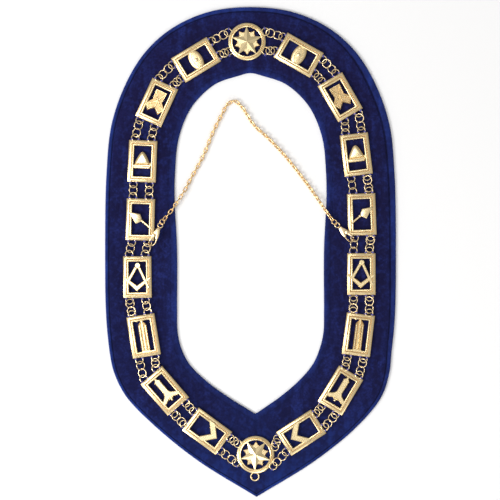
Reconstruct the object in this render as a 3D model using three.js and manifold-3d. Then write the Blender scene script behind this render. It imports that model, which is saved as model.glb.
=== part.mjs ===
// A chain of office: eighteen cast gilt pieces joined by jump rings and sewn flat on a
// velvet collar that lies on a table, with a fine safety chain hooked across the neck opening.
// Millimetres, +Z up. The origin is under the middle of the collar, +Y towards the back of the neck.

import * as THREE from 'three';
import { mergeVertices } from 'three/addons/utils/BufferGeometryUtils.js';
import Module from 'manifold-3d';

const wasm = await Module();
wasm.setup();

// Velvet collar
const collarLength = 490;
const collarWidth = 291;
const openingLength = 341;
const openingWidth = 152;
const openingDrop = 66;
const tipLean = 6;
const velvetThickness = 2.6;
const hemWidth = 6.5;
const seamWidth = 1.2;
const seamDepth = 0.5;

// What sits on the velvet keeps this gap to it
const seatGap = 0.3;

// Cast panels: a flat outer band, a groove and a raised bead round the window
const panelLength = 41.8;
const panelWidth = 28.4;
const bandWidth = 3.0;
const grooveWidth = 0.5;
const beadWidth = 2.2;
const grooveFloor = 2.5;
const bandHeight = 3.3;
const beadHeight = 3.6;
const ornamentHeight = 2.3;
const reliefHeight = 3.2;
const ornamentBite = 1.2;

// Cast loops on the ends of the panels and the sides of the medallions
const loopRadius = 3.7;
const loopWire = 1.1;
const loopHeight = 2.7;
const loopReach = 2.25;
const loopSpread = 8.0;
const loopSides = 8;
const castSides = 4;

// Jump rings. Two in one strand are joined where they bear on each other.
const ringOuter = 9.6;
const ringWire = 1.0;
const leastLean = THREE.MathUtils.degToRad(20);
const mostLean = THREE.MathUtils.degToRad(38);
const ringClearance = 0.15;
const ringSides = 10;
const wireSides = 5;
const loopSlack = 0.55;
const ringContact = 0.01;

// Medallions
const medallionDiameter = 37.4;
const rimWidth = 4.2;
const rimGroove = 0.8;
const rimSides = 24;
const medallionLoopTurn = THREE.MathUtils.degToRad(27);
const starPeak = 5.2;
const starValley = 6.2;
const starBase = 0.8;
const starBite = 1.0;
const notchTip = 12.2;
const notchShoulder = 9.6;
const notchHeight = 2.6;
const bailRadius = 4.0;
const bailWire = 1.6;
const bailReach = 3.2;
const bailSides = 16;
const bailTurn = 3.4;

// Lobster clasps at the ends of the safety chain
const claspLength = 26;
const claspBodyStart = 9.0;
const claspBodyWidth = 7.0;
const claspNeckWidth = 3.2;
const claspThickness = 2.4;
const tailRadius = 3.1;
const tailHole = 1.7;
const hookWire = 1.4;
const pivotX = 11.0;
const pivotY = 1.6;
const pivotRadius = 0.5;
const leverThickness = 0.8;
const leverSlack = 0.25;
const leverWidth = 1.2;
const leverEyeRadius = 1.35;
const leverTipX = 4.1;
const leverTipY = 2.9;
const leverThumb = 3.2;
const claspTilt = 4;
const claspRest = 14;
const claspPanel = 3;
const claspHeadings = { left: 64.3, right: 134 };

// The loop's middle, measured from the start of a clasp that hangs in it
const loopAlong = 1.7;
const loopAcross = 3.7;

// The hook's bar from the body, under the cast loop and up through it.
// drop is how far it lies below the middle of the body.
const hookRoute = [
  { x: 10.0, y: -2.6, drop: 0.1 },
  { x: 7.4, y: -2.9, drop: 0.8 },
  { x: 4.4, y: -2.9, drop: 2.5 },
  { x: 1.9, y: -1.9, drop: 4.0 },
  { x: 0.9, y: -0.3, drop: 4.6 },
  { x: 1.3, y: 1.1, drop: 4.2 },
  { x: 2.4, y: 2.3, drop: 2.6 },
  { x: 2.9, y: 2.9, drop: 0.2 },
];

// Safety chain, a plain round bar here
const chainWidth = 4.0;
const chainSides = 8;
const chainSteps = 34;

// Free space between the ends of two neighbouring panels, measured along the chain
const jointSpace = 17.0;

// Outer edge of the collar from the back of the neck to the tip.
// down is a share of the collar's length, out a share of half its width.
const outerEdge = [
  { down: 0.0, out: 0.0 },
  { down: 0.01, out: 0.29 },
  { down: 0.043, out: 0.54 },
  { down: 0.092, out: 0.725 },
  { down: 0.157, out: 0.859 },
  { down: 0.239, out: 0.955 },
  { down: 0.337, out: 0.99 },
  { down: 0.5, out: 1.0 },
  { down: 0.631, out: 0.993 },
  { down: 0.698, out: 0.972 },
  { down: 0.747, out: 0.946 },
  { down: 0.796, out: 0.876 },
  { down: 0.857, out: 0.691 },
  { down: 0.927, out: 0.399 },
  { down: 1.0, out: 0.0 },
];

// Neck opening in the same way, as shares of its own length and half its width
const innerEdge = [
  { down: 0.0, out: 0.0 },
  { down: 0.009, out: 0.171 },
  { down: 0.032, out: 0.46 },
  { down: 0.079, out: 0.704 },
  { down: 0.126, out: 0.842 },
  { down: 0.2, out: 0.954 },
  { down: 0.29, out: 0.993 },
  { down: 0.364, out: 1.0 },
  { down: 0.52, out: 0.967 },
  { down: 0.7, out: 0.967 },
  { down: 0.76, out: 0.96 },
  { down: 0.806, out: 0.914 },
  { down: 0.853, out: 0.816 },
  { down: 0.9, out: 0.625 },
  { down: 0.947, out: 0.362 },
  { down: 1.0, out: 0.0 },
];
const outerSteps = 56;
const innerSteps = 44;
const leanStart = 0.69;
const leanEnd = 0.885;

// The chain's own route: the middle of each cast piece on the velvet, as shares of the pitch,
// which is a panel's length and the space after it.
// lean is how far the top of a piece leans to the right of straight up, in degrees.
const chainRoute = {
  top: { x: -0.0595, y: 3.5748, lean: -1 },
  bottom: { x: 0.0850, y: -3.4439, lean: 5 },
  left: [
    { x: -0.9252, y: 3.2653, lean: 58.8 },
    { x: -1.5935, y: 2.5408, lean: 24.7 },
    { x: -1.8367, y: 1.5425, lean: 2.4 },
    { x: -1.8707, y: 0.5527, lean: 1.5 },
    { x: -1.9218, y: -0.4252, lean: -0.5 },
    { x: -1.8163, y: -1.4252, lean: -9.2 },
    { x: -1.4558, y: -2.3588, lean: -40.8 },
    { x: -0.7364, y: -3.0442, lean: -53.8 },
  ],
  right: [
    { x: 0.8197, y: 3.3452, lean: -60.4 },
    { x: 1.5238, y: 2.6310, lean: -29.9 },
    { x: 1.7976, y: 1.6565, lean: -7 },
    { x: 1.8912, y: 0.6395, lean: -2 },
    { x: 1.8844, y: -0.3741, lean: 0 },
    { x: 1.8333, y: -1.4065, lean: 7.1 },
    { x: 1.5289, y: -2.3537, lean: 31 },
    { x: 0.8605, y: -3.0697, lean: 57 },
  ],
};

// Where the safety chain starts outside a tail eye, and how high it hangs there over the velvet
const tailGap = 0.4;
const tailOver = 2.0;

// The safety chain's route from one clasp's tail eye to the other's, as shares of the same pitch.
// over is the height of its underside above the table, or above the velvet where onVelvet is 1.
const safetyChainRoute = [
  { x: -1.4541, y: 0.5714, over: 1.1, onVelvet: 1 },
  { x: -1.3520, y: 0.6973, over: 0.3, onVelvet: 1 },
  { x: -1.2415, y: 0.8588, over: 0.3, onVelvet: 1 },
  { x: -1.1735, y: 0.9609, over: 0.2, onVelvet: 1 },
  { x: -1.0969, y: 1.0884, over: 1.2, onVelvet: 0 },
  { x: -1.0289, y: 1.2245, over: 0.3, onVelvet: 0 },
  { x: -0.8078, y: 1.6327, over: 0.15, onVelvet: 0 },
  { x: -0.6378, y: 2.0408, over: 0.15, onVelvet: 0 },
  { x: -0.4762, y: 2.3639, over: 0.15, onVelvet: 0 },
  { x: -0.3997, y: 2.5000, over: 0.15, onVelvet: 0 },
  { x: -0.2806, y: 2.5680, over: 0.15, onVelvet: 0 },
  { x: -0.1446, y: 2.4575, over: 0.15, onVelvet: 0 },
  { x: 0.0425, y: 2.1769, over: 0.15, onVelvet: 0 },
  { x: 0.3316, y: 1.9048, over: 0.15, onVelvet: 0 },
  { x: 0.5867, y: 1.6327, over: 0.15, onVelvet: 0 },
  { x: 0.8078, y: 1.3605, over: 0.15, onVelvet: 0 },
  { x: 1.0119, y: 1.0884, over: 0.3, onVelvet: 0 },
  { x: 1.1054, y: 0.9524, over: 1.2, onVelvet: 0 },
  { x: 1.1820, y: 0.8418, over: 0.2, onVelvet: 1 },
  { x: 1.2755, y: 0.7058, over: 0.3, onVelvet: 1 },
  { x: 1.3690, y: 0.5782, over: 1.1, onVelvet: 1 },
];

// Heights and lengths that follow from the sizes above
const chainBase = velvetThickness + seatGap;
const halfLength = panelLength / 2;
const halfWidth = panelWidth / 2;
const railWidth = bandWidth + grooveWidth + beadWidth;
const windowHalfLength = halfLength - railWidth;
const windowHalfWidth = halfWidth - railWidth;
const rimRadius = medallionDiameter / 2;
const ringRadius = (ringOuter - ringWire) / 2;
const pitch = panelLength + jointSpace;

const gold = { color: 0xe2c58c, roughness: 0.3, metalness: 1.0 };
const velvet = { color: 0x17194a, roughness: 0.95, metalness: 0.0 };

// A closed three.js geometry becomes a solid that can be joined and cut
function solid(geometry) {
  const bare = geometry.index ? geometry.toNonIndexed() : geometry.clone();
  bare.deleteAttribute('normal');
  bare.deleteAttribute('uv');
  const merged = mergeVertices(bare, 1e-4);
  return new wasm.Manifold(new wasm.Mesh({
    numProp: 3,
    vertProperties: new Float32Array(merged.attributes.position.array),
    triVerts: new Uint32Array(merged.index.array),
  }));
}

function join(solids) {
  return solids.reduce((all, next) => all.add(next));
}

function meshOf(name, body, finish) {
  const { vertProperties, triVerts } = body.getMesh();
  const geometry = new THREE.BufferGeometry();
  geometry.setAttribute('position', new THREE.BufferAttribute(new Float32Array(vertProperties), 3));
  geometry.setIndex(new THREE.BufferAttribute(new Uint32Array(triVerts), 1));
  geometry.computeVertexNormals();
  const mesh = new THREE.Mesh(geometry, new THREE.MeshStandardMaterial(finish));
  mesh.name = name;
  return mesh;
}

// A flat outline raised between two heights
function plate(shape, from, to, curveSegments = 4) {
  const options = { depth: to - from, bevelEnabled: false, curveSegments };
  return solid(new THREE.ExtrudeGeometry(shape, options).translate(0, 0, from));
}

function outline(points) {
  return new THREE.Shape(points.map(([x, y]) => new THREE.Vector2(x, y)));
}

function rectangle(halfX, halfY) {
  return [[-halfX, -halfY], [halfX, -halfY], [halfX, halfY], [-halfX, halfY]];
}

function rectangleRing(outerX, outerY, width) {
  const shape = outline(rectangle(outerX, outerY));
  shape.holes.push(new THREE.Path(outline(rectangle(outerX - width, outerY - width)).getPoints()));
  return shape;
}

// A straight bar seen from above, with its ends cut square
function bar(fromX, fromY, toX, toY, width) {
  const along = new THREE.Vector2(toX - fromX, toY - fromY).normalize().multiplyScalar(width / 2);
  return outline([
    [fromX + along.y, fromY - along.x],
    [toX + along.y, toY - along.x],
    [toX - along.y, toY + along.x],
    [fromX - along.y, fromY + along.x],
  ]);
}

// A torus whose flats and corners lie evenly about the true circle
function torus(radius, wire, sides, sectionSides) {
  const fit = 2 / (1 + Math.cos(Math.PI / sides));
  return new THREE.TorusGeometry(radius * fit, wire / 2, sectionSides, sides);
}

// Edges of the velvet

function leaned(x, y) {
  const from = collarLength * (0.5 - leanStart);
  const to = collarLength * (0.5 - leanEnd);
  const lean = 1 - THREE.MathUtils.smoothstep(y, to, from);
  return new THREE.Vector2(x + tipLean * lean, y);
}

function edgeLoop(rows, top, length, halfSpan, steps) {
  const right = rows.map(({ down, out }) => new THREE.Vector3(out * halfSpan, top - down * length, 0));
  const left = right.slice(1).reverse().map((point) => new THREE.Vector3(-point.x, point.y, 0));
  const curve = new THREE.CatmullRomCurve3([...left, ...right], false, 'centripetal');
  const points = curve.getSpacedPoints(steps).slice(0, -1);
  return points.map((point) => leaned(point.x, point.y));
}

// Moves each corner of a closed loop sideways by a distance, with mitred corners
function insetLoop(points, distance) {
  return points.map((point, index) => {
    const before = points[(index + points.length - 1) % points.length];
    const after = points[(index + 1) % points.length];
    const first = point.clone().sub(before).normalize();
    const second = after.clone().sub(point).normalize();
    const inward = new THREE.Vector2(first.y + second.y, -first.x - second.x).normalize();
    const mitre = Math.max(0.5, inward.dot(new THREE.Vector2(first.y, -first.x)));
    return point.clone().addScaledVector(inward, distance / mitre);
  });
}

function loopBand(outerPoints, innerPoints) {
  const shape = new THREE.Shape([...outerPoints].reverse());
  shape.holes.push(new THREE.Path(innerPoints));
  return shape;
}

function velvetCollar() {
  const top = collarLength / 2;
  const outer = edgeLoop(outerEdge, top, collarLength, collarWidth / 2, outerSteps);
  const inner = edgeLoop(innerEdge, top - openingDrop, openingLength, openingWidth / 2, innerSteps);
  const seamFloor = velvetThickness - seamDepth;
  const above = velvetThickness + seamDepth;
  const outerSeam = loopBand(insetLoop(outer, hemWidth), insetLoop(outer, hemWidth + seamWidth));
  const innerSeam = loopBand(insetLoop(inner, -hemWidth - seamWidth), insetLoop(inner, -hemWidth));
  return plate(loopBand(outer, inner), 0, velvetThickness)
    .subtract(plate(outerSeam, seamFloor, above))
    .subtract(plate(innerSeam, seamFloor, above));
}

// Ornaments in the panel windows. Their outlines are shares of the window's half width
// and half length, and reach past 1 where they run into the frame.

function inWindow(rows) {
  const reachX = windowHalfWidth;
  const reachY = windowHalfLength;
  return outline(rows.map(([across, up]) => [across * reachX, up * reachY]));
}

const sideBite = 1 + ornamentBite / windowHalfWidth;
const endBite = 1 + ornamentBite / windowHalfLength;

function eye() {
  const lens = (share, bulge) => {
    const shape = new THREE.Shape();
    shape.moveTo(-windowHalfWidth * share, 0);
    shape.quadraticCurveTo(0, windowHalfLength * bulge, windowHalfWidth * share, 0);
    shape.quadraticCurveTo(0, -windowHalfLength * bulge, -windowHalfWidth * share, 0);
    return shape;
  };
  return [
    plate(lens(1.5, 0.84), 0, ornamentHeight),
    plate(lens(0.85, 0.5), 0, reliefHeight),
  ];
}

function tablet() {
  const body = [
    [-0.68, 0.8], [0.68, 0.8], [0.66, 0.06], [sideBite, -0.27], [sideBite, -0.52],
    [0.66, -0.76], [0, -0.42], [-0.66, -0.76], [-sideBite, -0.52], [-sideBite, -0.27], [-0.66, 0.06],
  ];
  const flap = [[-0.62, 0.74], [0.62, 0.74], [0, 0.02]];
  return [
    plate(inWindow(body), 0, ornamentHeight),
    plate(inWindow(flap), 0, reliefHeight),
  ];
}

function beehive() {
  const dome = new THREE.Shape();
  dome.moveTo(-0.84 * windowHalfWidth, -0.3 * windowHalfLength);
  dome.bezierCurveTo(
    -0.7 * windowHalfWidth, 0.2 * windowHalfLength,
    -0.3 * windowHalfWidth, 0.6 * windowHalfLength,
    0, 0.6 * windowHalfLength,
  );
  dome.bezierCurveTo(
    0.3 * windowHalfWidth, 0.6 * windowHalfLength,
    0.7 * windowHalfWidth, 0.2 * windowHalfLength,
    0.84 * windowHalfWidth, -0.3 * windowHalfLength,
  );
  const board = [
    [-sideBite, -0.46], [0.62, -0.46], [0.9, -0.34], [sideBite, -0.3],
    [sideBite, -0.06], [0.86, -0.1], [0.6, -0.24], [-sideBite, -0.24],
  ];
  return [
    plate(dome, 0, reliefHeight),
    plate(inWindow(board), 0, ornamentHeight),
  ];
}

function trowel(side) {
  const blade = [
    [-sideBite, 0.52], [0.02, 0.32], [0.18, -0.01], [0, -0.14], [-0.58, -0.22], [-sideBite, 0.26],
  ];
  const mirrored = (rows) => (side < 0 ? rows : rows.map(([across, up]) => [-across, up]).reverse());
  const grip = bar(
    -side * 0.1 * windowHalfWidth, -0.06 * windowHalfLength,
    -side * sideBite * windowHalfWidth, -0.5 * windowHalfLength, 2.0,
  );
  return [
    plate(inWindow(mirrored(blade)), 0, ornamentHeight),
    plate(grip, 0, reliefHeight),
  ];
}

function squareAndCompasses() {
  const legWidth = 3.0;
  const head = new THREE.Shape();
  head.absarc(0, 0.78 * windowHalfLength, 2.6, 0, Math.PI * 2);
  const cornerX = -0.08 * windowHalfWidth;
  const square = [
    [-sideBite, 0.05], [-0.08, -0.63], [sideBite, 0.05], [sideBite, -0.24],
    [-0.08, -0.95], [-sideBite, -0.24],
  ];
  const leg = (fromX, toX, toY) => bar(
    fromX, 0.8 * windowHalfLength, toX * windowHalfWidth, toY * windowHalfLength, legWidth,
  );
  return [
    plate(inWindow(square), 0, ornamentHeight),
    plate(head, 0, reliefHeight),
    plate(leg(cornerX, -sideBite, -0.3), 0, reliefHeight),
    plate(leg(0, sideBite, -0.5), 0, reliefHeight),
  ];
}

function column() {
  const shaft = [
    [-0.46, -endBite], [0.46, -endBite], [0.46, 0.7], [0.5, 0.78], [0.3, 0.94], [0.1, endBite],
    [-0.1, endBite], [-0.3, 0.94], [-0.5, 0.78], [-0.46, 0.7],
  ];
  const ridge = [[-0.16, -endBite], [0.16, -endBite], [0.16, 0.86], [0, endBite], [-0.16, 0.86]];
  return [
    plate(inWindow(shaft), 0, ornamentHeight),
    plate(inWindow(ridge), 0, reliefHeight),
  ];
}

function level() {
  const body = [
    [-0.3, 0.66], [-0.34, 0.76], [-0.12, 0.96], [-0.12, endBite], [0.12, endBite], [0.12, 0.96],
    [0.34, 0.76], [0.3, 0.66], [0.3, -0.12], [0.62, -0.36], [sideBite, -0.46], [sideBite, -0.66],
    [0.5, -0.6], [0.14, -0.5], [0, -0.7], [-0.14, -0.5], [-0.5, -0.6], [-sideBite, -0.66],
    [-sideBite, -0.46], [-0.62, -0.36], [-0.3, -0.12],
  ];
  const ridge = [[-0.08, -0.56], [0.08, -0.56], [0.08, 0.9], [-0.08, 0.9]];
  return [
    plate(inWindow(body), 0, ornamentHeight),
    plate(inWindow(ridge), 0, reliefHeight),
  ];
}

function square() {
  const arms = [
    [-sideBite, 0.31], [0, -0.3], [sideBite, 0.31], [sideBite, -0.21], [0, -0.78], [-sideBite, -0.21],
  ];
  return [plate(inWindow(arms), 0, reliefHeight)];
}

const ornaments = [
  { name: 'eye', shapes: eye },
  { name: 'tablet', shapes: tablet },
  { name: 'beehive', shapes: beehive },
  { name: 'trowel', shapes: trowel },
  { name: 'square_and_compasses', shapes: squareAndCompasses },
  { name: 'column', shapes: column },
  { name: 'level', shapes: level },
  { name: 'square', shapes: square },
];

function castLoop(x, y) {
  return solid(torus(loopRadius, loopWire, loopSides, castSides).translate(x, y, loopHeight));
}

// A cast panel lies with its long side along Y, its underside at z = 0
function panelBody(ornament) {
  const bead = rectangleRing(windowHalfWidth + beadWidth, windowHalfLength + beadWidth, beadWidth);
  const frame = [
    plate(rectangleRing(halfWidth, halfLength, railWidth), 0, grooveFloor),
    plate(rectangleRing(halfWidth, halfLength, bandWidth), 0, bandHeight),
    plate(bead, 0, beadHeight),
  ];
  const loops = [];
  for (const end of [-1, 1]) {
    for (const side of [-1, 1]) {
      loops.push(castLoop(side * loopSpread, end * (halfLength + loopReach)));
    }
  }
  return join([...frame, ...ornament, ...loops]);
}

// Medallions

// A shallow pyramid on a star outline: every second corner of a ten-sided cone is drawn in
function facetedStar(tip, valley, base, peak) {
  const cone = new THREE.ConeGeometry(1, peak - base, 10, 1);
  cone.rotateX(Math.PI / 2).translate(0, 0, (peak + base) / 2);
  const place = cone.attributes.position;
  for (let index = 0; index < place.count; index += 1) {
    const x = place.getX(index);
    const y = place.getY(index);
    if (Math.hypot(x, y) > 0.5) {
      const turn = Math.round((Math.atan2(y, x) - Math.PI / 2) / (Math.PI / 5));
      const reach = turn % 2 === 0 ? tip : valley;
      place.setXY(index, x * reach, y * reach);
    }
  }
  return solid(cone);
}

function starOutline(tip, valley) {
  const points = [];
  for (let corner = 0; corner < 10; corner += 1) {
    const turn = Math.PI / 2 + corner * Math.PI / 5;
    const reach = corner % 2 === 0 ? tip : valley;
    points.push([reach * Math.cos(turn), reach * Math.sin(turn)]);
  }
  return outline(points);
}

// The lower star's five points have a small square shoulder on each side
function notchedStar() {
  const steps = [
    { turn: -24, reach: notchShoulder * 0.72 },
    { turn: -20, reach: notchShoulder },
    { turn: -12, reach: notchShoulder * 0.96 },
    { turn: 0, reach: notchTip },
    { turn: 12, reach: notchShoulder * 0.96 },
    { turn: 20, reach: notchShoulder },
    { turn: 24, reach: notchShoulder * 0.72 },
  ];
  const points = [];
  for (let arm = 0; arm < 5; arm += 1) {
    for (const step of steps) {
      const turn = THREE.MathUtils.degToRad(90 + 36 + arm * 72 + step.turn);
      points.push([step.reach * Math.cos(turn), step.reach * Math.sin(turn)]);
    }
  }
  return outline(points);
}

function medallionBody(pointsDown) {
  const rimInner = rimRadius - rimWidth;
  const middle = rimRadius - rimWidth / 2;
  const profile = [
    [rimInner, 0], [rimRadius, 0], [rimRadius, bandHeight], [middle + rimGroove / 2, bandHeight],
    [middle, grooveFloor], [middle - rimGroove / 2, beadHeight], [rimInner, beadHeight], [rimInner, 0],
  ].map(([x, y]) => new THREE.Vector2(x, y));
  const rim = solid(new THREE.LatheGeometry(profile, rimSides).rotateX(Math.PI / 2));
  const starTip = rimInner + starBite;
  let star = join([
    plate(starOutline(starTip, starValley), 0, starBase + 0.6),
    facetedStar(starTip, starValley, starBase, starPeak),
    plate(notchedStar(), 0, notchHeight),
  ]);
  if (pointsDown) {
    star = star.rotate([0, 0, 180]);
  }
  const parts = [rim, star];
  const centre = { x: 0, y: 0, lean: 0 };
  for (const side of [-1, 1]) {
    for (const up of [-1, 1]) {
      const place = medallionLoop(centre, up, side);
      parts.push(castLoop(place.x, place.y));
    }
  }
  if (pointsDown) {
    const bail = torus(bailRadius, bailWire, bailSides, wireSides);
    bail.translate(0, -rimRadius - bailReach, bailWire / 2);
    parts.push(solid(bail).rotate([0, 0, bailTurn]));
  }
  return join(parts);
}

// Jump rings

function jumpRing(x, y, roll) {
  const ring = torus(ringRadius, ringWire, ringSides, wireSides).rotateZ(Math.PI / ringSides);
  return solid(ring.rotateX(roll).translate(x, y, 0));
}

function bear(first, second) {
  return first.intersect(second).volume() > ringContact;
}

// How far apart two linked rings are when they hang taut and bear on each other
function tautSpacing() {
  let spacing = ringRadius * 1.4;
  while (!bear(jumpRing(0, 0, mostLean), jumpRing(spacing, 0, -mostLean))) {
    spacing += 0.05;
  }
  return spacing;
}

const pairSpacing = tautSpacing();

// How far two rings of one strand move to opposite sides until they bear on each other
function swayAt(span, near, roll) {
  let sway = 0;
  while (!bear(jumpRing(near, sway, roll), jumpRing(span - near, -sway, -roll)) && sway < ringRadius) {
    sway += 0.05;
  }
  return sway;
}

// Rings lean as little as lets them pass through the cast loops clear of their wire.
// near is how far the middle of the first ring lies from the loop's middle.
function settledRings(span, near, leanSide) {
  const loop = castLoop(0, 0).translate([0, 0, -loopHeight]);
  const paired = near < span / 2;
  const place = (lean) => {
    const roll = leanSide * lean;
    return { roll, sway: paired ? swayAt(span, near, roll) : 0 };
  };
  let lean = leastLean;
  let { roll, sway } = place(lean);
  while (lean < mostLean && jumpRing(near, sway, roll).minGap(loop, 1) < ringClearance) {
    lean += THREE.MathUtils.degToRad(0.5);
    ({ roll, sway } = place(lean));
  }
  const first = jumpRing(near, sway, roll);
  return paired ? first.add(jumpRing(span - near, -sway, -roll)) : first;
}

// A strand runs along X from one cast loop to the next, at the loops' own height.
// Two rings in a short strand lie a little to each side, so that they still bear on each other.
function ringStrand(span, wanted, leanSide) {
  const loopMost = ringRadius + loopRadius - (ringWire + loopWire) / 2 - loopSlack;
  const nearest = ringRadius + ringWire / 2 + seatGap / 2 - loopReach;
  const roomForTwo = span > 2 * nearest + 0.92 * pairSpacing;
  const tooFarForOne = span > 2 * loopMost + 0.5;
  if (!(wanted === 2 && roomForTwo) && !tooFarForOne) {
    return settledRings(span, span / 2, leanSide);
  }
  return settledRings(span, Math.max(nearest, (span - pairSpacing) / 2), leanSide);
}

// Clasps

// A clasp lies along X with the tip of its hook near 0. Its body and tail eye are one flat
// plate. The hook is a bent bar that dips under the cast loop and comes up through it, and
// the sprung lever closes the gap between the hook's tip and the body on the panel's side.
function claspBody() {
  const tailX = claspLength - tailRadius;
  const half = claspBodyWidth / 2;
  const shape = new THREE.Shape();
  shape.moveTo(claspBodyStart, -half);
  shape.lineTo(claspBodyStart + 3.5, -half);
  shape.lineTo(tailX - tailRadius, -claspNeckWidth / 2);
  shape.absarc(tailX, 0, tailRadius, -Math.PI * 0.8, Math.PI * 0.8, false);
  shape.lineTo(tailX - tailRadius, claspNeckWidth / 2);
  shape.lineTo(claspBodyStart + 3.5, half);
  shape.lineTo(claspBodyStart, half);
  const eye = new THREE.Path();
  eye.absarc(tailX, 0, tailHole, 0, Math.PI * 2);
  shape.holes.push(eye);
  const hookPoints = hookRoute.map(({ x, y, drop }) => new THREE.Vector3(x, y, -drop));
  const route = new THREE.CatmullRomCurve3(hookPoints);
  const section = new THREE.Shape();
  section.absarc(0, 0, hookWire / 2, 0, Math.PI * 2);
  const hook = new THREE.ExtrudeGeometry(section, { extrudePath: route, steps: 12, curveSegments: 3 });
  const slotEdge = leverEyeRadius + leverSlack;
  const slotShape = outline([
    [claspBodyStart - 1, pivotY - slotEdge], [pivotX + slotEdge, pivotY - slotEdge],
    [pivotX + slotEdge, half + 1], [claspBodyStart - 1, half + 1],
  ]);
  const slot = plate(slotShape, -leverThickness / 2 - leverSlack, leverThickness / 2 + leverSlack);
  const pin = plate(disc(pivotX, pivotY, pivotRadius), -claspThickness / 2, claspThickness / 2);
  return plate(shape, -claspThickness / 2, claspThickness / 2).subtract(slot).add(pin).add(solid(hook));
}

function disc(x, y, radius) {
  const shape = new THREE.Shape();
  shape.absarc(x, y, radius, 0, Math.PI * 2);
  return shape;
}

// The lever runs from its pivot to the hook's tip, with a short thumb piece on its outer side
function claspLever() {
  const reach = bar(pivotX, pivotY, leverTipX, leverTipY, leverWidth);
  const thumb = bar(pivotX, pivotY, pivotX - leverWidth / 2, pivotY + leverThumb, leverWidth);
  return plate(disc(pivotX, pivotY, leverEyeRadius), -leverThickness / 2, leverThickness / 2)
    .add(plate(reach, -leverThickness / 2, leverThickness / 2))
    .add(plate(thumb, -leverThickness / 2, leverThickness / 2))
    .subtract(plate(disc(pivotX, pivotY, pivotRadius + leverSlack), -leverThickness, leverThickness));
}

// The safety chain's round bar follows its route over the velvet's edge and across the table
function safetyChain(start, end) {
  const height = (over, onVelvet) => over + onVelvet * velvetThickness + chainWidth / 2;
  const between = safetyChainRoute.map(({ x, y, over, onVelvet }) => (
    new THREE.Vector3(x * pitch, y * pitch, height(over, onVelvet))
  ));
  const first = new THREE.Vector3(start.x, start.y, height(tailOver, 1));
  const last = new THREE.Vector3(end.x, end.y, height(tailOver, 1));
  const points = [first, ...between, last];
  const route = new THREE.CatmullRomCurve3(points, false, 'centripetal');
  const section = new THREE.Shape();
  section.absarc(0, 0, chainWidth / 2, 0, Math.PI * 2);
  const options = { extrudePath: route, steps: chainSteps, curveSegments: chainSides / 2 };
  return solid(new THREE.ExtrudeGeometry(section, options));
}

// Where things go

// Stations move with the panels' length, so the jump rings keep their reach
function station({ x, y, lean }) {
  return { x: x * pitch, y: y * pitch, lean };
}

function placed(body, { x, y, lean }) {
  return body.rotate([0, 0, -lean]).translate([x, y, chainBase]);
}

function fromStation({ x, y, lean }, localX, localY) {
  const point = new THREE.Vector2(localX, localY);
  point.rotateAround(new THREE.Vector2(), -THREE.MathUtils.degToRad(lean));
  return point.add(new THREE.Vector2(x, y));
}

function panelLoop(place, end, side) {
  return fromStation(place, side * loopSpread, end * (halfLength + loopReach));
}

function medallionLoop(place, up, side) {
  const turn = up * medallionLoopTurn;
  const reach = rimRadius + loopReach;
  return fromStation(place, side * reach * Math.cos(turn), reach * Math.sin(turn));
}

function strandBetween(from, to, wanted, leanSide) {
  const run = to.clone().sub(from);
  return ringStrand(run.length(), wanted, leanSide)
    .rotate([0, 0, THREE.MathUtils.radToDeg(run.angle())])
    .translate([from.x, from.y, chainBase + loopHeight]);
}

// A clasp's line from above: where its hook end starts, which way it runs and where its tail is left
function claspLine(side, loop, heading) {
  const turn = THREE.MathUtils.degToRad(heading);
  const along = new THREE.Vector2(Math.cos(turn), Math.sin(turn));
  const across = new THREE.Vector2(-along.y, along.x).multiplyScalar(-side);
  const start = loop.clone().addScaledVector(along, -loopAlong).addScaledVector(across, -loopAcross);
  const chainEnd = start.clone().addScaledVector(along, claspLength + tailGap);
  return { start, chainEnd };
}

// A clasp for the left side is turned over for the right one
function hungClasp(body, side, start, heading) {
  const flipped = side < 0 ? body : body.mirror([0, 1, 0]);
  const height = chainBase + bandHeight + seatGap + claspThickness / 2;
  return flipped
    .translate([-claspRest, 0, 0])
    .rotate([0, claspTilt, 0])
    .translate([claspRest, 0, 0])
    .rotate([0, 0, heading])
    .translate([start.x, start.y, height]);
}

function build() {
  const group = new THREE.Group();
  const top = station(chainRoute.top);
  const bottom = station(chainRoute.bottom);
  group.add(meshOf('velvet_collar', velvetCollar(), velvet));
  group.add(meshOf('top_medallion', placed(medallionBody(false), top), gold));
  group.add(meshOf('bottom_medallion', placed(medallionBody(true), bottom), gold));
  const chainEnds = [];
  for (const [sideName, side] of [['left', -1], ['right', 1]]) {
    const places = chainRoute[sideName].map(station);
    places.forEach((place, index) => {
      const { name, shapes } = ornaments[index];
      group.add(meshOf(`${name}_panel_${sideName}`, placed(panelBody(shapes(side)), place), gold));
    });
    for (let joint = 0; joint <= places.length; joint += 1) {
      for (const [strandName, inward, wanted] of [['outer_rings', -1, 2], ['inner_ring', 1, 1]]) {
        const across = -side * inward;
        const from = joint === 0
          ? medallionLoop(top, -inward, side)
          : panelLoop(places[joint - 1], -1, across);
        const to = joint === places.length
          ? medallionLoop(bottom, inward, side)
          : panelLoop(places[joint], 1, across);
        const strand = strandBetween(from, to, wanted, -side * inward);
        group.add(meshOf(`${strandName}_${sideName}_${joint + 1}`, strand, gold));
      }
    }
    const loop = panelLoop(places[claspPanel], -1, -side);
    const heading = claspHeadings[sideName];
    const { start, chainEnd } = claspLine(side, loop, heading);
    group.add(meshOf(`${sideName}_clasp`, hungClasp(claspBody(), side, start, heading), gold));
    group.add(meshOf(`${sideName}_clasp_lever`, hungClasp(claspLever(), side, start, heading), gold));
    chainEnds.push(chainEnd);
  }
  group.add(meshOf('safety_chain', safetyChain(...chainEnds), gold));
  return group;
}

export default build();
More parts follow.
